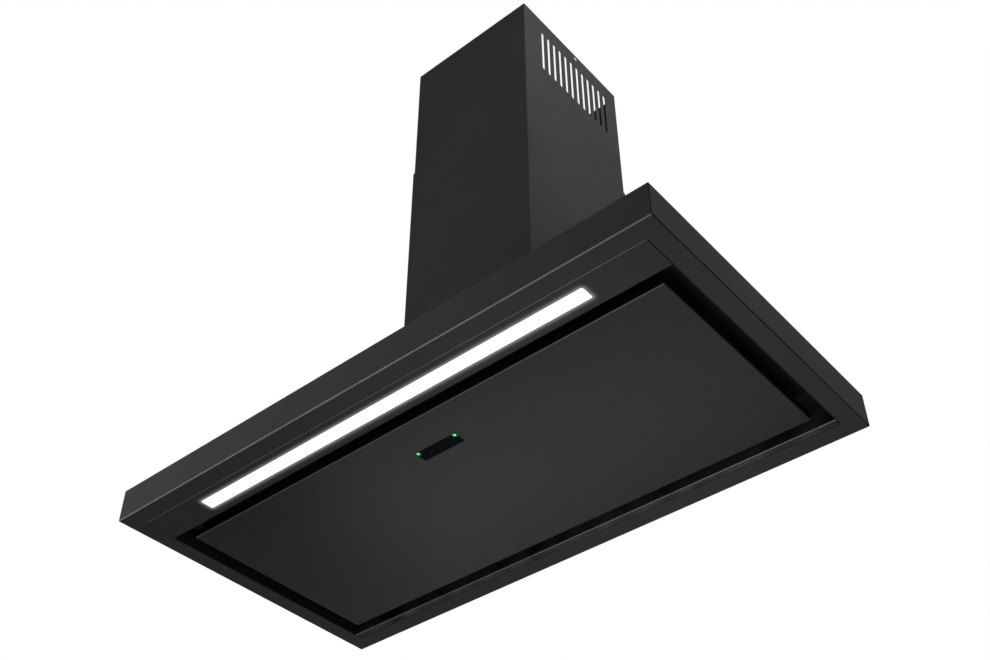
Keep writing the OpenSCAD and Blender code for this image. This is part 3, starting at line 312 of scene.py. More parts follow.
def loop(rect: Rect, z: float, radius: float = 0.0, inset: float = 0.0, facets: int = CORNER_FACETS) -> Array:
    """Works out a rectangle with round corners at one height, counter-clockwise from above.

    Corner k runs through centre + r * (cos a, sin a), as quarter gives them, with an extra point at each end.

    Args:
        rect: the rectangle.
        z: its height.
        radius: radius of its corners.
        inset: how far it is drawn in.
        facets: number of facets of a corner.

    Returns:
        The points, n x 3.
    """
    r = max(radius, SHARP)
    parts = []
    for k, centre in enumerate(corners(rect, inset + r)):
        unit = quarter(k, facets)
        arc = centre + r * unit
        before = arc[:1] + unit[:1, ::-1] * (BRINK, -BRINK)
        after = arc[-1:] + unit[-1:, ::-1] * (-BRINK, BRINK)
        parts.append(np.concatenate([before, arc, after]))
    return np.insert(np.concatenate(parts), 2, z, axis=1)


def linear(code: str) -> tuple[float, ...]:
    """Turns an sRGB hex colour, such as #2b2b2c, into linear red, green and blue, with an alpha of 1."""
    parts = (int(code[i:i + 2], 16) / 255 for i in (1, 3, 5))
    return *(c / 12.92 if c <= 0.04045 else ((c + 0.055) / 1.055) ** 2.4 for c in parts), 1.0


def emptied(owner: bpy.types.Material | bpy.types.World) -> bpy.types.NodeTree:
    """Empties the node tree of a material or world.

    Args:
        owner: the material or world.

    Returns:
        The tree.
    """
    owner.use_nodes = True
    owner.node_tree.nodes.clear()
    return owner.node_tree


def add_node(tree: bpy.types.NodeTree, kind: str, settings: dict | None = None,
             links: Links | None = None) -> Node:
    """Adds a node with its settings and links.

    Args:
        tree: the node tree.
        kind: the node's type, without the word ShaderNode before it.
        settings: values of its inputs, by name or number, or of its own properties.
        links: outputs that feed its inputs, by the input's name or number; a node stands for its first output.

    Returns:
        The node.
    """
    node = tree.nodes.new("ShaderNode" + kind)
    for key, value in (settings or {}).items():
        if isinstance(key, int) or key in node.inputs:
            node.inputs[key].default_value = value
        else:
            setattr(node, key, value)
    for key, source in (links or {}).items():
        tree.links.new(source.outputs[0] if isinstance(source, Node) else source, node.inputs[key])
    return node


def seen_ray(tree: bpy.types.NodeTree) -> Node:
    """Adds what tells a ray that shows the surroundings from one that lights with them.

    Args:
        tree: the node tree.

    Returns:
        A node whose output is 1 for a camera, glossy or transmission ray, else 0.
    """
    ray = add_node(tree, "LightPath").outputs
    first = add_node(tree, "Math", {"operation": "MAXIMUM"}, {0: ray["Is Camera Ray"], 1: ray["Is Glossy Ray"]})
    return add_node(tree, "Math", {"operation": "MAXIMUM"}, {0: first, 1: ray["Is Transmission Ray"]})


@dataclass(frozen=True)
class Finish:
    """A surface: its real material, how it was made, and the record's slot that it belongs to."""

    name: str
    slot: str
    colour: str
    shade: str
    roughness: float
    specular: float = 0.5
    metallic: float = 0.0

    @cached_property
    def material(self) -> bpy.types.Material:
        """Returns the material, with an empty node tree until finished has filled it."""
        return bpy.data.materials.new(self.name)

    @cached_property
    def tree(self) -> bpy.types.NodeTree:
        """Returns the material's node tree."""
        return emptied(self.material)

    @cached_property
    def shader(self) -> Node:
        """Returns the shader, with the finish's plain values."""
        values = {"Roughness": self.roughness, "Metallic": self.metallic, "Specular IOR Level": self.specular}
        return self.add("BsdfPrincipled", {"Base Color": linear(self.colour), **values})

    @cached_property
    def coords(self) -> Socket:
        """Returns the object coordinates."""
        return self.add("TexCoord").outputs["Object"]

    @cached_property
    def finished(self) -> bpy.types.Material:
        """Fills the material: the shader, its output and the patterns.

        Returns:
            The material.
        """
        self.add("OutputMaterial", links={"Surface": self.shader})
        self.detail()
        return self.material

    def detail(self) -> None:
        """Adds the finish's patterns."""
        raise NotImplementedError

    def add(self, kind: str, settings: dict | None = None, links: Links | None = None) -> Node:
        """Adds a node to the material, as add_node does."""
        return add_node(self.tree, kind, settings, links)

    def feed(self, target: str, source: Socket) -> None:
        """Links an output to an input of the shader."""
        self.tree.links.new(source, self.shader.inputs[target])

    def tint(self, share: Source, ends: tuple[str, str] | None = None, target: str = "Base Color") -> None:
        """Mixes two colours by a pattern and feeds them to the shader.

        Args:
            share: the pattern, as the share of the second colour.
            ends: the two colours, or None for the finish's own.
            target: the shader's input.
        """
        first, second = map(linear, ends or (self.colour, self.shade))
        self.feed(target, self.add("Mix", {"data_type": "RGBA", 6: first, 7: second}, {0: share}).outputs[2])

    def glow(self, share: Source, strength: float, ends: tuple[str, str] | None = None) -> None:
        """Lets the surface shine in two colours, mixed by a pattern as tint does."""
        self.shader.inputs["Emission Strength"].default_value = strength
        self.tint(share, ends, "Emission Color")

    def roughen(self, share: Source, below: float, above: float, reach: tuple[float, float] = (0.0, 1.0)) -> None:
        """Varies the roughness by a pattern.

        Args:
            share: the pattern.
            below, above: how far the roughness goes below and above the finish's own.
            reach: values of the pattern at which it gets there.
        """
        ends = {"To Min": self.roughness - below, "To Max": self.roughness + above}
        rough = self.add("MapRange", {"From Min": reach[0], "From Max": reach[1], **ends}, {"Value": share})
        self.feed("Roughness", rough.outputs[0])

    def emboss(self, height: Source, strength: float, depth: float) -> None:
        """Raises a pattern on the surface, at a strength and to a depth."""
        bump = self.add("Bump", {"Strength": strength, "Distance": depth * MM}, {"Height": height})
        self.feed("Normal", bump.outputs[0])


@dataclass(frozen=True)
class Sheet(Finish):
    """Rolled sheet, coated or bare: tone = clouds + share * lines, gloss = lines, and the relief is a peel, or the
    lines where there is no peel. The sizes given here are those of the coat."""

    # Rolling lines under the coat are about 0.3 mm apart, and are drawn ten times as coarse so that they show.
    streak: Streak = Streak.ALONG_X
    streak_mm: float = 3.0
    streak_detail: float = 4.0
    streak_share: float = 0.35
    # The spray gun's passes leave clouds of tone about a hand wide.
    cloud_mm: float = 160.0
    tone_reach: tuple[float, float] = (0.45, 0.9)
    gloss_reach: tuple[float, float] = (0.3, 0.7)
    rough_span: float = 0.05
    # The coat's orange peel has waves of 1 to 2 mm, some hundredths of a millimetre high.
    peel_mm: float = 1.4
    relief: float = 0.4
    relief_depth: float = 0.012

    def detail(self) -> None:
        """Adds the clouds, the lines and the relief."""
        cloud = self.add("TexNoise", {"Scale": 1000 / self.cloud_mm, "Detail": 3.0}, {"Vector": self.coords})
        drawn = self.add("Mapping", {"Scale": self.streak.value}, {"Vector": self.coords})
        fine = {"Scale": 1000 / self.streak_mm, "Detail": self.streak_detail}
        lines = self.add("TexNoise", fine, {"Vector": drawn})
        both = self.add("Math", {"operation": "MULTIPLY_ADD", 1: self.streak_share}, {0: lines, 2: cloud})
        low, high = self.tone_reach
        self.tint(self.add("MapRange", {"From Min": low, "From Max": high}, {"Value": both}))
        self.roughen(lines, self.rough_span, self.rough_span, self.gloss_reach)
        if self.peel_mm:
            lines = self.add("TexNoise", {"Scale": 1000 / self.peel_mm, "Detail": 2.0}, {"Vector": self.coords})
        self.emboss(lines, self.relief, self.relief_depth)


@dataclass(frozen=True)
class SheetCoat(Sheet):
    """Polyester powder coat, sprayed and baked on steel sheet: satin black, a fine orange peel, slow clouds of
    tone and faint rolling streaks that show through."""


@dataclass(frozen=True)
class Metal(Sheet):
    """Bare metal with rolling or brushing lines: aluminium sheet, zinc-plated steel or turned steel."""

    metallic: float = 1.0
    # The real lines are about 0.1 mm apart, and are drawn some ten times as coarse so that they show.
    streak_mm: float = 1.2
    streak_detail: float = 3.0
    streak_share: float = 0.6
    # Handling and heat leave clouds a few centimetres wide.
    cloud_mm: float = 30.0
    tone_reach: tuple[float, float] = (0.5, 1.1)
    rough_span: float = 0.08
    peel_mm: float = 0.0
    relief: float = 0.3
    relief_depth: float = 0.01


def strip_distance(finish: Finish, corner: float) -> Socket:
    """Adds what works out how far a point lies outside the light's window, drawn in by a corner's radius.

    The distance is the length of max(|p - middle| - half, 0), so its lines have round corners.

    Args:
        finish: takes the nodes.
        corner: the corner's radius.

    Returns:
        Output with the distance in metres, 0 inside.
    """
    x0, x1, y0, y1 = (side * MM for side in LIGHT)
    half = ((x1 - x0) / 2 - corner * MM, (y1 - y0) / 2 - corner * MM, 1.0)
    point = finish.coords
    for step, values in (("ADD", {1: (0.0, -(y0 + y1) / 2, 0.0)}), ("ABSOLUTE", {}), ("SUBTRACT", {1: half}),
                         ("MAXIMUM", {1: (0.0, 0.0, 0.0)}), ("LENGTH", {})):
        point = finish.add("VectorMath", {"operation": step, **values}, {0: point})
    return point.outputs["Value"]


@dataclass(frozen=True)
class PaintedGlowCoat(SheetCoat):
    """The same powder coat on the light rail, with the strip's light painted on it as a glow round the window:
    brightness falls off as (1 - distance / spread) to the power of fall."""

    spread_mm: float = 13.6
    strength: float = 0.35
    fall: float = 5.0
    corner: float = 3.0

    def detail(self) -> None:
        """Adds the coat's patterns and the painted glow on it."""
        super().detail()
        near = self.add("MapRange", {"From Min": self.corner * MM, "From Max": (self.corner + self.spread_mm) * MM,
                                     "To Min": 1.0, "To Max": 0.0}, {"Value": strip_distance(self, self.corner)})
        fall = self.add("Math", {"operation": "POWER", 1: self.fall}, {0: near})
        # Painted glow: the strip's light laid on the coat as emission.
        self.glow(fall, self.strength, ("#000000", "#ffffff"))


@dataclass(frozen=True)
class OpalStrip(Finish):
    """Extruded opal acrylic with the lamps lit behind it: white, a little dimmer along its edge."""

    strength: float = 1.3
    dim: str = "#5c5c5a"
    corner: float = 3.0
    # It dims over a millimetre, from just inside the window's edge.
    edge: tuple[float, float] = (-0.4, 0.6)

    def detail(self) -> None:
        """Adds the light."""
        low, high = ((self.corner + span) * MM for span in self.edge)
        away = strip_distance(self, self.corner)
        share = self.add("MapRange", {"From Min": low, "From Max": high}, {"Value": away})
        self.glow(share, self.strength, ("#ffffff", self.dim))


@dataclass(frozen=True)
class ZincPlate(Finish):
    """Hot-dip galvanised steel: grey crystals a few millimetres wide, each with its own tone and sheen."""

    metallic: float = 1.0
    # Zinc crystals on dipped sheet are 5 to 15 mm wide, and their edges wander by some millimetres.
    crystal_mm: float = 9.0
    wander_mm: float = 6.0
    gloss_span: tuple[float, float] = (0.05, 0.07)

    def detail(self) -> None:
        """Adds the crystals."""
        slow = {"Scale": 1000 / (self.crystal_mm * 2), "Detail": 2.0}
        bent = self.add("TexNoise", slow, {"Vector": self.coords})
        moved = self.add("VectorMath", {"operation": "MULTIPLY_ADD", 1: (self.wander_mm * MM,) * 3},
                         {0: bent.outputs["Color"], 2: self.coords})
        cells = self.add("TexVoronoi", {"Scale": 1000 / self.crystal_mm}, {"Vector": moved})
        grey = self.add("SeparateColor", links={0: cells.outputs["Color"]})
        self.tint(grey)
        self.roughen(grey.outputs[1], *self.gloss_span)


@dataclass(frozen=True)
class Moulded(Finish):
    """Injection-moulded plastic: even colour with a spark-eroded grain."""

    # Spark-eroded grain is about 0.1 mm wide, and is drawn coarser so that it shows.
    grain_mm: float = 0.7
    grain_depth: float = 0.03
    relief: float = 0.35
    rough_span: float = 0.06
    # The melt's flow leaves clouds of tone about two fingers wide.
    cloud_mm: float = 40.0

    def detail(self) -> None:
        """Adds the grain and the clouds."""
        grain = self.add("TexNoise", {"Scale": 1000 / self.grain_mm, "Detail": 3.0}, {"Vector": self.coords})
        self.tint(self.add("TexNoise", {"Scale": 1000 / self.cloud_mm, "Detail": 2.0}, {"Vector": self.coords}))
        self.roughen(grain, self.rough_span, self.rough_span)
        self.emboss(grain, self.relief, self.grain_depth)


@dataclass(frozen=True)
class FloorPaint(Moulded):
    """Pale matt floor paint that goes over into the white surroundings between two distances, in metres."""

    grain_mm: float = 6.0
    lift: float = 0.4
    fade: tuple[float, float] = (2.5, 11.0)

    def detail(self) -> None:
        """Adds the grain, and a glow for the rays that show the surroundings."""
        super().detail()
        flat = self.add("VectorMath", {"operation": "MULTIPLY", 1: (1.0, 1.0, 0.0)}, {0: self.coords})
        far = self.add("VectorMath", {"operation": "LENGTH"}, {0: flat}).outputs["Value"]
        share = self.add("MapRange", {"interpolation_type": "SMOOTHSTEP", "To Min": self.lift,
                                      "From Min": self.fade[0], "From Max": self.fade[1]}, {"Value": far})
        glow = self.add("Math", {"operation": "MULTIPLY"}, {0: seen_ray(self.tree), 1: share})
        self.shader.inputs["Emission Color"].default_value = linear("#ffffff")
        self.feed("Emission Strength", glow.outputs[0])


@dataclass(frozen=True)
class SmokedWindow(Finish):
    """Smoked acrylic over the sensor: nearly black and glossy, with the indicators' light painted round them as a
    green glow.
    """

    lens_x: tuple[float, float] = (-26.5, 36.5)
    lens_y: float = -326.5
    # Colour of the painted glow round the indicators.
    halo: str = "#1c8a3a"
    # The painted glow ends this far from an indicator's middle, and is full this near to it.
    halo_mm: tuple[float, float] = (5.5, 1.0)
    # A wiping cloth leaves smears about a finger wide.
    smear_mm: float = 14.0
    gloss_span: tuple[float, float] = (0.03, 0.05)

    def detail(self) -> None:
        """Adds the smears and the painted glow, by the distance from the nearer indicator."""
        spans = [self.add("VectorMath", {"operation": "DISTANCE", 1: (x * MM, self.lens_y * MM, 0.0)},
                          {0: self.coords}).outputs["Value"] for x in self.lens_x]
        near = self.add("Math", {"operation": "MINIMUM"}, dict(enumerate(spans)))
        share = self.add("MapRange", {"interpolation_type": "SMOOTHERSTEP", "From Min": self.halo_mm[0] * MM,
                                      "From Max": self.halo_mm[1] * MM}, {"Value": near})
        # Painted glow round the indicators, laid on the window as emission.
        self.glow(share, 1.0, ("#000000", self.halo))
        smear = self.add("TexNoise", {"Scale": 1000 / self.smear_mm, "Detail": 2.0}, {"Vector": self.coords})
        self.roughen(smear, *self.gloss_span)


@dataclass(frozen=True)
class LitPipe(Finish):
    """Moulded light pipe with a green lamp behind it: a bright, slightly uneven green."""

    strength: float = 2.0
    grain_mm: float = 1.0

    def detail(self) -> None:
        """Adds the uneven green and its light."""
        grain = self.add("TexNoise", {"Scale": 1000 / self.grain_mm}, {"Vector": self.coords})
        self.tint(grain)
        self.glow(grain, self.strength)


@dataclass(frozen=True)
class CircuitBoard(Finish):
    """Glass-fibre board with green solder mask: darker tracks in a square pattern."""

    # Tracks are under a millimetre wide, and are drawn in squares of 4 mm so that they show.
    square_mm: float = 4.0
    track: str = "#16402a"
    track_share: float = 0.12

    def detail(self) -> None:
        """Adds the tracks."""
        colours = dict(zip(("Color1", "Color2", "Mortar"), map(linear, (self.colour, self.shade, self.track))))
        tracks = self.add("TexBrick", {**colours, "Mortar Size": self.track_share, "Scale": 1000 / self.square_mm},
                          {"Vector": self.coords})
        self.feed("Base Color", tracks.outputs[0])


# Polyester powder, sprayed on and baked: an even satin black that shades softly and shows no clear reflection.
COAT = SheetCoat("satin_black_powder_coat", "black_steel", "#2a2a2b", "#2d2d2e", 0.55, 0.004)
# Matt powder on the duct cover: flat and grainless, so each face is one slow gradient.
COAT_COVER = SheetCoat("matt_black_powder_coat_cover", "black_cover_steel", "#212121", "#242424", 0.65, 0.008,
                       streak=Streak.NONE, streak_mm=60.0)
# Smooth powder on the pressed panel: darker by itself, with a broad sheen where it mirrors the studio.
COAT_PANEL = SheetCoat("satin_black_powder_coat_panel", "black_panel_steel", "#121213", "#141415", 0.26, 0.04,
                       streak=Streak.NONE, streak_mm=5.0, cloud_mm=300.0, rough_span=0.015)
# The same coat on the light rail, with a narrow painted glow round the window for the strip's light on it.
COAT_RAIL = PaintedGlowCoat("satin_black_powder_coat_painted_glow", "black_steel", "#292929", "#2c2c2d", 0.55, 0.004)
# A thin coat over drawn steel at the back of the recess: the draw lines show as uneven tone along the strip.
COAT_STRIP = SheetCoat("satin_black_powder_coat_drawn", "black_steel", "#1c1c1d", "#38383a", 0.5, 0.004,
                       streak_mm=2.2, cloud_mm=45.0)
# The same coat on that strip's wall, made nearly black as painted shade where little light reaches it, with paler
# smears.
WALL_SHADE_COAT = SheetCoat("satin_black_powder_coat_painted_shade_wall", "black_steel", "#0e0e0f", "#28282a", 0.5, 0.004,
                      streak_mm=2.2, cloud_mm=45.0)
# Near-black on the deck inside, far darker than the outer coat: painted shade, so the gap round the panel reads as
# depth.
INNER_SHADE_COAT = SheetCoat("flat_black_powder_coat_painted_shade", "black_inner_steel", "#0b0b0c", "#0e0e0f", 0.7, 0.08)
# A lighter grey coat on the canopy's front fold: a painted highlight, a grey line that stands in for the light the
# fold catches.
FOLD_HIGHLIGHT_COAT = SheetCoat("powder_coat_painted_highlight_on_fold", "black_steel", "#565657", "#646465", 0.45, 0.12)
# A fainter painted highlight of the same kind on the rail's and the strip's folds: a grey line.
FAINT_FOLD_HIGHLIGHT_COAT = SheetCoat("powder_coat_faint_painted_highlight_on_fold", "black_steel", "#555556", "#606061", 0.4, 0.2)
# A dim painted highlight of the same kind on the panel's front fold, under its sheen.
PANEL_FOLD_HIGHLIGHT_COAT = SheetCoat("powder_coat_painted_highlight_on_panel_fold", "black_panel_steel", "#3c3c3d", "#464647", 0.35, 0.15)
# Painted shade: a thin near-black line on a mitred corner and on the side folds, for the shadow between two
# sheets.
FOLD_SHADE_COAT = SheetCoat("powder_coat_painted_shade_in_fold", "black_steel", "#0a0a0a", "#0c0c0c", 0.8, 0.02)
# ABS from a spark-eroded mould: fine even grain that breaks the highlight up.
BLACK_PLASTIC = Moulded("moulded_black_abs", "black_plastic", "#1d1d1e", "#232324", 0.5, 0.4)
# Moulded polypropylene: waxy grey with a wide soft highlight.
GREY_PLASTIC = Moulded("moulded_grey_polypropylene", "grey_plastic", "#3a3c3e", "#434547", 0.5, 0.4)
# Moulded polycarbonate: clean off-white with a soft highlight.
WHITE_PLASTIC = Moulded("moulded_white_polycarbonate", "white_plastic", "#dcdcd6", "#e6e6e1", 0.45, 0.5)
# Extruded opal acrylic: it scatters the lamps behind it into one even white strip with softened corners.
OPAL = OpalStrip("lit_opal_acrylic", "opal_acrylic", "#f4f4f0", "#ffffff", 0.4)
# Cast smoked acrylic: nearly black and glossy, with a painted green glow round the two indicators.
WINDOW = SmokedWindow("smoked_acrylic", "dark_glass", "#070b0d", "#090d0f", 0.12, 0.001)
# Moulded light pipes with a lamp behind each: two small bright green points.
LENS = LitPipe("lit_green_light_pipe", "green_lens", "#2fd45c", "#4bea78", 0.3)
# Rolled aluminium sheet: pale grey, with lines along it that draw the highlight out.
ALUMINIUM = Metal("rolled_aluminium", "filter_aluminium", "#b4b7b9", "#9fa2a4", 0.38)
# Extruded aluminium, left as it comes from the die: die lines along it and a soft sheen.
MILL = Metal("extruded_aluminium", "mill_aluminium", "#b9bcbe", "#a7aaac", 0.4)
# Slit and stretched aluminium: bright strands that catch the light one by one.
MESH_WIRE = Metal("expanded_aluminium_mesh", "filter_mesh", "#bfc1c2", "#9c9fa1", 0.42, streak=Streak.NONE)
# Hot-dip galvanised sheet: a patchwork of crystals, each with a grey of its own.
ZINC = ZincPlate("galvanised_steel", "zinc_steel", "#a2a6a9", "#b3b7b9", 0.48)
# Ground steel: bright and nearly mirror-smooth, with faint clouds.
PIN = Metal("ground_steel_pin", "steel_pin", "#b6b8ba", "#a3a5a8", 0.25, streak=Streak.NONE)
# Zinc-plated screws: dull silver with a soft highlight.
SCREW = Metal("zinc_plated_screw", "steel_pin", "#9a9da0", "#888b8e", 0.42, streak=Streak.NONE)
# Die-cast aluminium: dull grey skin with a coarse grain.
MOTOR = Metal("die_cast_aluminium", "cast_motor", "#8d9194", "#787c7f", 0.5, streak=Streak.NONE, streak_mm=0.8)
# Glass-fibre board, etched and coated with solder mask: green with a square pattern of darker tracks.
BOARD = CircuitBoard("green_circuit_board", "circuit_board", "#1d5a37", "#226440", 0.35, 0.5)


@dataclass
class Piece:
    """A made piece: its mesh, its body, its finishes by mark, and its CAD node."""

    mesh: bpy.types.Mesh
    body: str
    finishes: list[Finish]
    node: str

    def build(self) -> None:
        """Makes the object, which rides on its body and stands for its CAD node."""
        obj = put(self.mesh)
        for finish in self.finishes:
            obj.data.materials.append(finish.finished)
        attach(obj, self.body)
        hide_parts(self.node)
        LOG.info("made %s: %d faces on %s", obj.name, len(self.mesh.polygons), self.body)


class SubAssembly:
    """Pieces that belong together: some are made, and the CAD nodes that stay are dressed, by finish."""

    dressing: ClassVar[dict[Finish, tuple[str, ...]]] = {}

    def pieces(self) -> list[Piece]:
        """Returns the pieces that are made: none, unless a sub-assembly says so."""
        return []

    def build(self) -> None:
        """Makes the pieces and dresses the nodes."""
        for piece in self.pieces():
            piece.build()
        for finish, nodes in self.dressing.items():
            for obj in (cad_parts[name] for name in nodes):
                if not obj.material_slots:
                    obj.data.materials.append(finish.finished)
                for slot in obj.material_slots:
                    slot.material = finish.finished
                LOG.info("dressed %s in %s", obj.name, finish.name)
        LOG.info("finished %s", type(self).__name__)


@dataclass
class Tub(SubAssembly):
    """Folded box or pan, worked out as loops that run round it one after another."""

    side: Rect
    height: float
    sheet: float = 1.0
    bend: float = 1.2
    corner: float = 1.0

    def flat(self, inset: float, z: float) -> Array:
        """Returns the loop at an inset from the outer faces and at a height."""
        return loop(self.side, z, self.corner - inset, inset)

    def turn(self, radius: float, z: float, start: float, end: float) -> list[Array]:
        """Works out a bend's loops: at the angle a, inset bend - radius * cos a and height z + radius * sin a.

        Args:
            radius: radius of the bend.
            z: height of its centre.
            start, end: its angles in degrees.

        Returns:
            The loops, from the start to the end.
        """
        angles = np.radians(np.linspace(start, end, FOLD_FACETS + 1))
        return [self.flat(self.bend - radius * math.cos(a), z + radius * math.sin(a)) for a in angles]

    def skin(self, hole: Rect, upper: list[Array]) -> Skin:
        """Works out the box: from a hole out along its underside, up the walls, over the top and back inside.

        Args:
            hole: the hole.
            upper: the loops over the straight walls, from the outer to the inner face.

        Returns:
            The closed skin.
        """
        r, t, edge = self.bend, self.sheet, self.bend + BRINK
        start = loop(hole, 0.0)
        rings = [start, self.flat(edge, 0.0), *self.turn(r, r, -90.0, 0.0), self.flat(0.0, edge), *upper,
                 self.flat(t, edge), *self.turn(r - t, r, 0.0, -90.0), self.flat(edge, t), loop(hole, t), start]
        skin = Skin()
        skin.grid(np.stack(rings), around=True)
        return skin


@dataclass
class Canopy(Tub):
    """Slim folded box with a turned-in rim, an opening below and a hole for the blower above."""

    side: Rect = (-450.0, 450.0, -480.0, 0.0)
    height: float = 51.0
    opening: Rect = (-425.0, 425.0, -453.0, -28.0)
    air_hole: Rect = (-90.0, 90.0, -227.0, -13.0)
    # Share of the upright corners' radius that the mitre's painted shade line takes.
    mitre: float = 0.9

    def pieces(self) -> list[Piece]:
        """Works out the canopy, with the front fold as finish 1, a painted highlight, and the side folds and
        mitres as finish 2, painted shade.

        Returns:
            The canopy.
        """
        r, t, h, c = self.bend, self.sheet, self.height, self.corner
        edge, m = r + BRINK, c * self.mitre
        skin = self.skin(self.opening, [
            self.flat(0.0, h - edge), *self.turn(r, h - r, 0.0, 90.0), self.flat(edge, h), loop(self.air_hole, h),
            loop(self.air_hole, h - t), self.flat(edge, h - t), *self.turn(r - t, h - r, 90.0, 0.0),
            self.flat(t, h - edge)])
        x0, x1, y0, y1 = self.side
        # Painted highlight: the front fold gets the lighter grey line.
        skin.paint(((x0 + c, y0 - MARGIN, -MARGIN), (x1 - c, y0 + r, r)), 1)
        # Painted shade: the side folds and the upright front corners get the near-black line.
        for x in (x0, x1):
            skin.paint(((x - c, y0 + c, -MARGIN), (x + c, y1 - c, r)), 2)
            skin.paint(((x - m, y0 - c, -MARGIN), (x + m, y0 + m, h - r)), 2)
        return [Piece(skin.mesh("canopy_box"), "hood", [COAT, FOLD_HIGHLIGHT_COAT, FOLD_SHADE_COAT], "canopy_shell")]


@dataclass
class Channel(SubAssembly):
    """Sheet strip with both long edges folded up, carried along X."""

    front: float
    back: float
    front_rise: float
    back_rise: float
    # Shares of the front bend's depth and height that its painted highlight line takes.
    line: float
    line_rise: float = 0.9
    half: float = 423.8
    sheet: float = 1.0
    bend: float = 1.2

    def skin(self, stations: Array, cuts: Array = np.empty(0), gaps: Gaps = ()) -> Skin:
        """Carries the outline along X and gives the front fold finish 1, a painted highlight.

        Args:
            stations: places along X.
            cuts: extra points on the flat, as distances from its back.
            gaps: boxes that are left open for windows.

        Returns:
            The skin.
        """
        path = [(self.back, self.back_rise), (self.back, 0.0), (self.front, 0.0), (self.front, self.front_rise)]
        skin = carry(fold(path, self.sheet, self.bend, {1: cuts}), stations, Axis.X, gaps)
        # Painted highlight: the front fold's line gets finish 1.
        high = (self.half, self.front + self.bend * self.line, self.bend * self.line_rise)
        skin.paint(((-self.half, self.front - MARGIN, -MARGIN), high), 1)
        return skin


@dataclass
class LightRail(Channel):
    """Front rail with the light's window, its opal strip, and what lies above it."""

    dressing = {MILL: ("light_channel",), BOARD: ("led_board", "control_board"), WHITE_PLASTIC: ("led_driver",),
                BLACK_PLASTIC: ("control_box", "control_lid")}
    front: float = -452.7
    back: float = -402.0
    front_rise: float = 12.0
    back_rise: float = 30.0
    line: float = 0.8
    light_corner: float = 1.5
    # The strip's play in the window, its softened edge, its lip's reach over the sheet and its lip's thickness.
    play: float = 0.3
    softened: float = 0.25
    lip: float = 3.0
    opal: float = 2.0
    # Length of the opal strip's middle line, as a share of the strip's.
    middle: float = 0.98

    def rail_skin(self) -> Skin:
        """Works out the rail: its folded outline carried along X, with the light's window in its flat.

        Returns:
            The closed skin, with the front fold as finish 1, a painted highlight.
        """
        edge, t = self.bend + BRINK, self.sheet
        rect = (-self.half, self.half, self.front + edge, self.back - edge)
        outer, hole = window(rect, LIGHT, self.light_corner)
        at_end = np.isclose(outer[:, 0], rect[0]) & (outer[:, 1] > rect[2]) & (outer[:, 1] < rect[3])
        stations = np.unique(np.round(outer[np.isclose(outer[:, 1], rect[2])][:, 0], DECIMALS))
        gap = ((rect[0], rect[2], -MARGIN), (rect[1], rect[3], t + MARGIN))
        skin = self.skin(stations, np.sort(self.back - outer[at_end][:, 1]), (gap,))
        low, high, hole_low, hole_high = (np.insert(line, 2, z, axis=1) for line in (outer, hole) for z in (0, t))
        skin.ladder(low, hole_low, Side.REVERSED, around=True)
        skin.ladder(high, hole_high, around=True)
        skin.ladder(hole_low, hole_high, Side.REVERSED, around=True)
        return skin

    def strip_skin(self) -> Skin:
        """Works out the opal strip: loops from the middle of its face out to its lip and back to its middle line.

        Returns:
            The closed skin.
        """
        def ring(grow: float, z: float) -> Array:
            """Returns the window's loop, grown, at a height."""
            return loop(LIGHT, z, self.light_corner + grow, -grow, HOLE_FACETS)

        def line(z: float) -> Array:
            """Returns the strip's middle line as a loop of no width."""
            return ring(0.0, z) * (self.middle, 0.0, 1.0) + (0.0, (LIGHT[2] + LIGHT[3]) / 2, 0.0)

        top = self.sheet + self.opal
        rings = [ring(*at) for at in ((-self.play - self.softened, 0.0), (-self.play, self.softened),
                                      (-self.play, self.sheet), (self.lip, self.sheet), (self.lip, top))]
        skin = Skin()
        skin.grid(np.stack([line(0.0), *rings, line(top)]), around=True)
        return skin

    def pieces(self) -> list[Piece]:
        """Returns the rail and the strip."""
        return [Piece(self.rail_skin().mesh("light_rail_sheet"), "hood", [COAT_RAIL, FAINT_FOLD_HIGHLIGHT_COAT], "light_rail"),
                Piece(self.strip_skin().mesh("opal_strip"), "hood", [OPAL], "light_diffuser")]


@dataclass
class Recess(Channel):
    """Folded strip at the back of the recess, the filter deck and the catches."""

    # The deck inside is dressed in the near-black painted shade.
    dressing = {INNER_SHADE_COAT: ("recess_tray",), BLACK_PLASTIC: ("panel_catches",)}
    front: float = -40.0
    back: float = -28.3
    front_rise: float = 30.0
    back_rise: float = 12.0
    line: float = 0.7

    def pieces(self) -> list[Piece]:
        """Works out the strip, with the front fold as finish 1, a painted highlight, and the wall over it as
        finish 2, painted shade.

        Returns:
            The strip.
        """
        skin = self.skin(np.array([-self.half, self.half]))
        low, high = self.front - MARGIN, self.front + self.sheet
        # Painted shade: the wall over the front fold gets the near-black copy of the coat.
        skin.paint(((-self.half, low, self.bend), (self.half, high, self.front_rise)), 2)
        return [Piece(skin.mesh("recess_back_strip"), "hood", [COAT_STRIP, FAINT_FOLD_HIGHLIGHT_COAT, WALL_SHADE_COAT], "back_rail")]


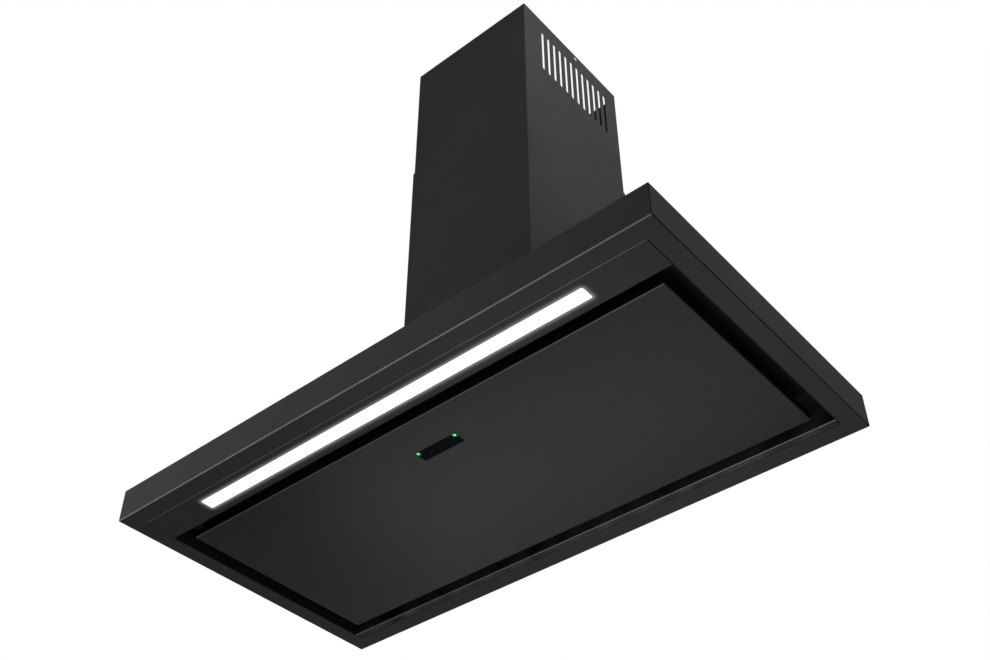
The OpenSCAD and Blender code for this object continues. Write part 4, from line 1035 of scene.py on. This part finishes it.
@dataclass
class SuctionPanel(Tub):
    """Hinged panel: shallow folded pan with the sensor's window, its brace and its hinges."""

    dressing = {ZINC: ("panel_brace", "hinge_leaves", "hinge_brackets"), PIN: ("hinge_pins", "catch_strikers"),
                WINDOW: ("sensor_window",), BLACK_PLASTIC: ("sensor_housing",), BOARD: ("sensor_board",),
                LENS: ("indicator_lenses",)}
    side: Rect = (-400.0, 400.0, -384.0, -60.0)
    height: float = 12.0
    hole: Rect = (-29.3, 39.3, -329.8, -309.2)
    # Share of the front fold's bend that its dim painted highlight takes.
    line: float = 0.9

    def pieces(self) -> list[Piece]:
        """Works out the pan, with the front fold as finish 1, a painted highlight.

        Returns:
            The pan.
        """
        skin = self.skin(self.hole, [self.flat(0.0, self.height), self.flat(self.sheet, self.height)])
        x0, x1, y0, _ = self.side
        reach = self.bend * self.line
        # Painted highlight: the front fold gets the dim grey line.
        skin.paint(((x0 + self.corner, y0 - MARGIN, -MARGIN), (x1 - self.corner, y0 + reach, reach)), 1)
        return [Piece(skin.mesh("suction_panel_pan"), "panel", [COAT_PANEL, PANEL_FOLD_HIGHLIGHT_COAT], "panel_skin")]


@dataclass
class GreaseFilters(SubAssembly):
    """Two grease filters with their latches: layers of expanded aluminium in folded frames.

    A layer is given by its height over the mesh's underside, the length and the depth of its diamonds.
    """

    dressing = {ALUMINIUM: ("filter_frame_left", "filter_frame_right"),
                BLACK_PLASTIC: ("filter_latch_left", "filter_latch_right")}
    inset: float = 0.3
    width: float = 1.5
    thickness: float = 0.6
    ripple: float = 0.25
    # How much higher every other strand lies.
    hair: float = 0.04
    smooth_degrees: float = 20.0
    layers: tuple[Point, ...] = ((1.0, 22.0, 11.0), (3.2, 11.0, 6.0), (5.4, 22.0, 11.0))

    def skin(self, low: Array, high: Array) -> Skin:
        """Works out the strands of every layer.

        Strand j runs along X through y = y_j + (-1)^(i + j) depth / 4 at its point i, with y_j half a diamond from
        the next strand, so neighbours meet at every other point. Points are half a diamond apart along X, and they
        ripple up and down in turn. Every other strand lies a hair higher, so that each stays closed by itself.

        Args:
            low: lowest corner of the mesh's place.
            high: its highest corner.

        Returns:
            The closed skin.
        """
        skin = Skin()
        x0, x1 = low[0] + self.inset, high[0] - self.inset
        section = np.array([[-1, -1], [1, -1], [1, 1], [-1, 1]]) * np.array([self.width, self.thickness]) / 2
        for rise, length, depth in self.layers:
            count = int((x1 - x0) / (length / 2))
            i = np.arange(count + 1)
            x = np.broadcast_to((x0 + i * (x1 - x0) / count)[:, None], (count + 1, 4))
            z = (low[2] + rise + self.ripple * (-1.0) ** i)[:, None] + section[:, 1]
            first = low[1] + self.inset + self.width / 2 + depth / 4
            rows = int((high[1] - low[1] - 2 * self.inset - self.width - depth / 2) / (depth / 2))
            for j in range(rows + 1):
                y = (first + j * depth / 2 + (-1.0) ** (i + j) * depth / 4)[:, None] + section[:, 0]
                strand = np.stack([x, y, z + self.hair * (j % 2)], axis=-1)
                skin.grid(strand, around=True)
                skin.ladder(strand[0, :2], strand[0, :1:-1], Side.REVERSED)
                skin.ladder(strand[-1, :2], strand[-1, :1:-1])
        return skin

    def pieces(self) -> list[Piece]:
        """Works out both meshes, each in the place of its solid.

        Returns:
            The meshes.
        """
        made = []
        for side in ("left", "right"):
            skin = self.skin(*(np.array(corner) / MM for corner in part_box(f"filter_mesh_{side}")))
            mesh = skin.mesh(f"expanded_mesh_{side}", self.smooth_degrees)
            made.append(Piece(mesh, "hood", [MESH_WIRE], f"filter_mesh_{side}"))
        return made


class Blower(SubAssembly):
    """Blower cabinet, scroll, impeller, motor, duct collar and flaps, whose solids all stay."""

    dressing = {ZINC: ("blower_cabinet", "motor_bracket", "inlet_guard", "chimney_clips"),
                GREY_PLASTIC: ("scroll_left", "scroll_right", "impeller"), PIN: ("motor_shaft", "flap_pin"),
                SCREW: ("scroll_screws", "hood_screws"), MOTOR: ("motor_body",), WHITE_PLASTIC: ("capacitor",),
                BLACK_PLASTIC: ("outlet_spigot", "cable_gland", "flap_left", "flap_right")}


@dataclass
class DuctCover(SubAssembly):
    """Telescopic duct cover: the lower cover, the upper cover with its air slots, and the wall bracket."""

    dressing = {COAT_COVER: ("chimney_bracket",), SCREW: ("chimney_screws",)}
    half: float = 125.0
    front: float = -270.0
    bottom: float = 51.0
    step: float = 670.0
    sheet: float = 0.8
    gap: float = 0.6
    bend: float = 1.5
    # The flanges along the wall end this far from the middle.
    flange: float = 107.0
    upper_bottom: float = 440.0
    top: float = 940.0
    slots: int = 12
    slot_first: float = -39.0
    slot_pitch: float = 16.3
    slot_width: float = 6.0
    slot_span: tuple[float, float] = (802.0, 904.0)
    # Each slot has its own cell in the side's grid, which reaches this far past its ends.
    cell_margin: float = 8.0

    def skin(self, inset: float, stations: Array, cuts: dict[int, Array], gaps: Gaps = ()) -> Skin:
        """Carries a cover's folded outline up, from its right flange round to its left one.

        Args:
            inset: how far the cover lies inside the lower cover's faces.
            stations: heights.
            cuts, gaps: extra points and open boxes, as fold and carry take them.

        Returns:
            The skin.
        """
        x, y0, y1 = self.half - inset, self.front + inset, -inset
        path = [(self.flange, y1), (x, y1), (x, y0), (-x, y0), (-x, y1), (-self.flange, y1)]
        return carry(fold(path, self.sheet, self.bend, cuts), stations, Axis.Z, gaps)

    def upper_skin(self) -> Skin:
        """Works out the upper cover, with a row of round-ended slots in each side.

        Returns:
            The closed skin.
        """
        inset = self.sheet + self.gap
        x = self.half - inset
        z0, z1 = self.slot_span[0] - self.cell_margin, self.slot_span[1] + self.cell_margin
        cells = []
        for mid in self.slot_first - np.arange(self.slots) * self.slot_pitch:
            cell, slot = ((mid - width / 2, mid + width / 2) for width in (self.slot_pitch, self.slot_width))
            cells.append(window((*cell, z0, z1), (*slot, *self.slot_span), self.slot_width / 2))
        rims = np.concatenate([outer for outer, _ in cells])
        depths = np.unique(np.round(rims[np.isclose(rims[:, 1], z0)][:, 0], DECIMALS))
        heights = np.unique(np.round(rims[:, 1], DECIMALS))
        cuts = {1: np.sort(-inset - depths), 3: np.sort(depths - (self.front + inset))}
        zones = tuple(((at - MARGIN, depths[0], z0), (at + MARGIN, depths[-1], z1)) for at in (x, -x))
        skin = self.skin(inset, np.unique([self.upper_bottom, self.top, *heights]), cuts, zones)
        for way in (1, -1):
            for lines in cells:
                outer, hole, outer_in, hole_in = (np.insert(line, 0, at * way, axis=1)
                                                  for at in (x, x - self.sheet) for line in lines)
                skin.ladder(outer, hole, Side(way), around=True)
                skin.ladder(hole, hole_in, Side(way), around=True)
                skin.ladder(outer_in, hole_in, Side(-way), around=True)
        return skin

    def pieces(self) -> list[Piece]:
        """Works out both covers.

        Returns:
            The covers.
        """
        lower = self.skin(0.0, np.array([self.bottom, self.step]), {}).mesh("lower_duct_cover")
        upper = self.upper_skin().mesh("upper_duct_cover")
        return [Piece(lower, "hood", [COAT_COVER], "lower_chimney"),
                Piece(upper, "cover_top", [COAT_COVER], "upper_chimney")]


@dataclass
class Lamp:
    """A soft studio lamp: where it stands, what it points at, its size and its power, in metres and watts."""

    name: str
    place: Point
    target: Point
    size: tuple[float, float]
    power: float
    # Nearly along Y, and never along a lamp's own direction.
    up: Point = (0.0, 1.0, 0.01)

    def build(self) -> None:
        """Makes the lamp, turned towards its target: its axes are up x back, back x (up x back), and back."""
        data = bpy.data.lights.new(self.name, "AREA")
        data.shape = "RECTANGLE"
        data.size, data.size_y = self.size
        data.energy = self.power
        back = np.subtract(self.place, self.target)
        right = np.cross(self.up, back)
        axes = [axis / np.linalg.norm(axis) for axis in (right, np.cross(back, right), back)]
        stance = Matrix.Translation(self.place) @ Matrix(axes).transposed().to_4x4()
        put(data, stance).visible_camera = False


@dataclass
class Studio:
    """Plain pale floor, soft lamps, white surroundings and the photograph's camera. Lengths are in metres."""

    floor_z: float = -1.75
    floor_half: float = 14.0
    floor_lines: int = 9
    paint: FloorPaint = FloorPaint("pale_floor_paint", "", "#dededb", "#e4e4e2", 0.7, 0.3)
    soft: float = 0.3
    camera_place: Point = (0.9276, -1.3062, -1.0107)
    # The camera's turns are in degrees, and its lens and sensor in millimetres.
    yaw: float = 40.046
    pitch: float = 41.982
    roll: float = -0.117
    lens: float = 47.32
    sensor: float = 36.0
    lamps: tuple[Lamp, ...] = (
        Lamp("lamp_below_back", (-0.66, 0.81, -1.01), (-0.66, 0.81, 0.0), (1.3, 0.68), 8.5),
        Lamp("lamp_below_right", (0.23, -0.3, -0.45), (0.23, -0.3, 0.0), (0.35, 0.35), 1.7),
        Lamp("lamp_high_right", (1.0, -0.32, 1.2), (0.12, -0.13, 0.55), (0.6, 0.6), 35.0),
        Lamp("lamp_front_left", (-0.6, -1.35, 0.35), (-0.2, -0.48, 0.03), (1.0, 0.5), 17.0),
        Lamp("lamp_behind", (0.0, 1.6, 0.9), (0.0, 0.0, 0.45), (0.24, 1.2), 6.0),
        Lamp("lamp_back_left", (-1.6, 1.1, 1.25), (-0.1, -0.1, 0.4), (1.3, 1.3), 26.0))

    def build_world(self) -> None:
        """Makes the surroundings: white to the camera and in reflections, softer for the light they give."""
        world = bpy.context.scene.world = bpy.data.worlds.new("studio_white")
        tree = emptied(world)
        soft, full = (add_node(tree, "Background", {"Color": linear("#ffffff"), "Strength": strength})
                      for strength in (self.soft, 1.0))
        mixed = add_node(tree, "MixShader", links={0: seen_ray(tree), 1: soft, 2: full})
        add_node(tree, "OutputWorld", links={"Surface": mixed})

    def build_floor(self) -> None:
        """Makes the floor: a grid of a few squares, in pale matt paint with slow clouds of tone."""
        x, y = np.meshgrid(*[np.linspace(-self.floor_half, self.floor_half, self.floor_lines)] * 2)
        skin = Skin()
        skin.grid(np.stack([x, y, np.full_like(x, self.floor_z)], axis=-1) / MM)
        floor = put(skin.mesh("studio_floor"))
        floor.data.materials.append(self.paint.finished)

    def build_camera(self) -> None:
        """Makes the camera: its heading, its tilt up from straight down, and its small roll are turned in turn."""
        data = bpy.data.cameras.new("photo_camera")
        data.lens, data.sensor_width = self.lens, self.sensor
        stance = Matrix.Translation(self.camera_place)
        for degrees, axis in ((self.yaw, "Z"), (90.0 + self.pitch, "X"), (self.roll, "Z")):
            stance = stance @ Matrix.Rotation(math.radians(degrees), 4, axis)
        bpy.context.scene.camera = put(data, stance)

    def build(self) -> None:
        """Makes the whole studio."""
        self.build_camera()
        self.build_world()
        self.build_floor()
        for lamp in self.lamps:
            lamp.build()
        bpy.context.scene.view_settings.view_transform = "Standard"
        LOG.info("studio: %d lamps", len(self.lamps))


def main() -> None:
    """Builds the studio and the hood's sub-assemblies in order."""
    logging.basicConfig(level=logging.INFO, format="%(message)s")
    hood = (Canopy(), LightRail(), Recess(), SuctionPanel(), GreaseFilters(), Blower(), DuctCover())
    for part in (Studio(), *hood):
        part.build()


if __name__ == "__main__":
    main()
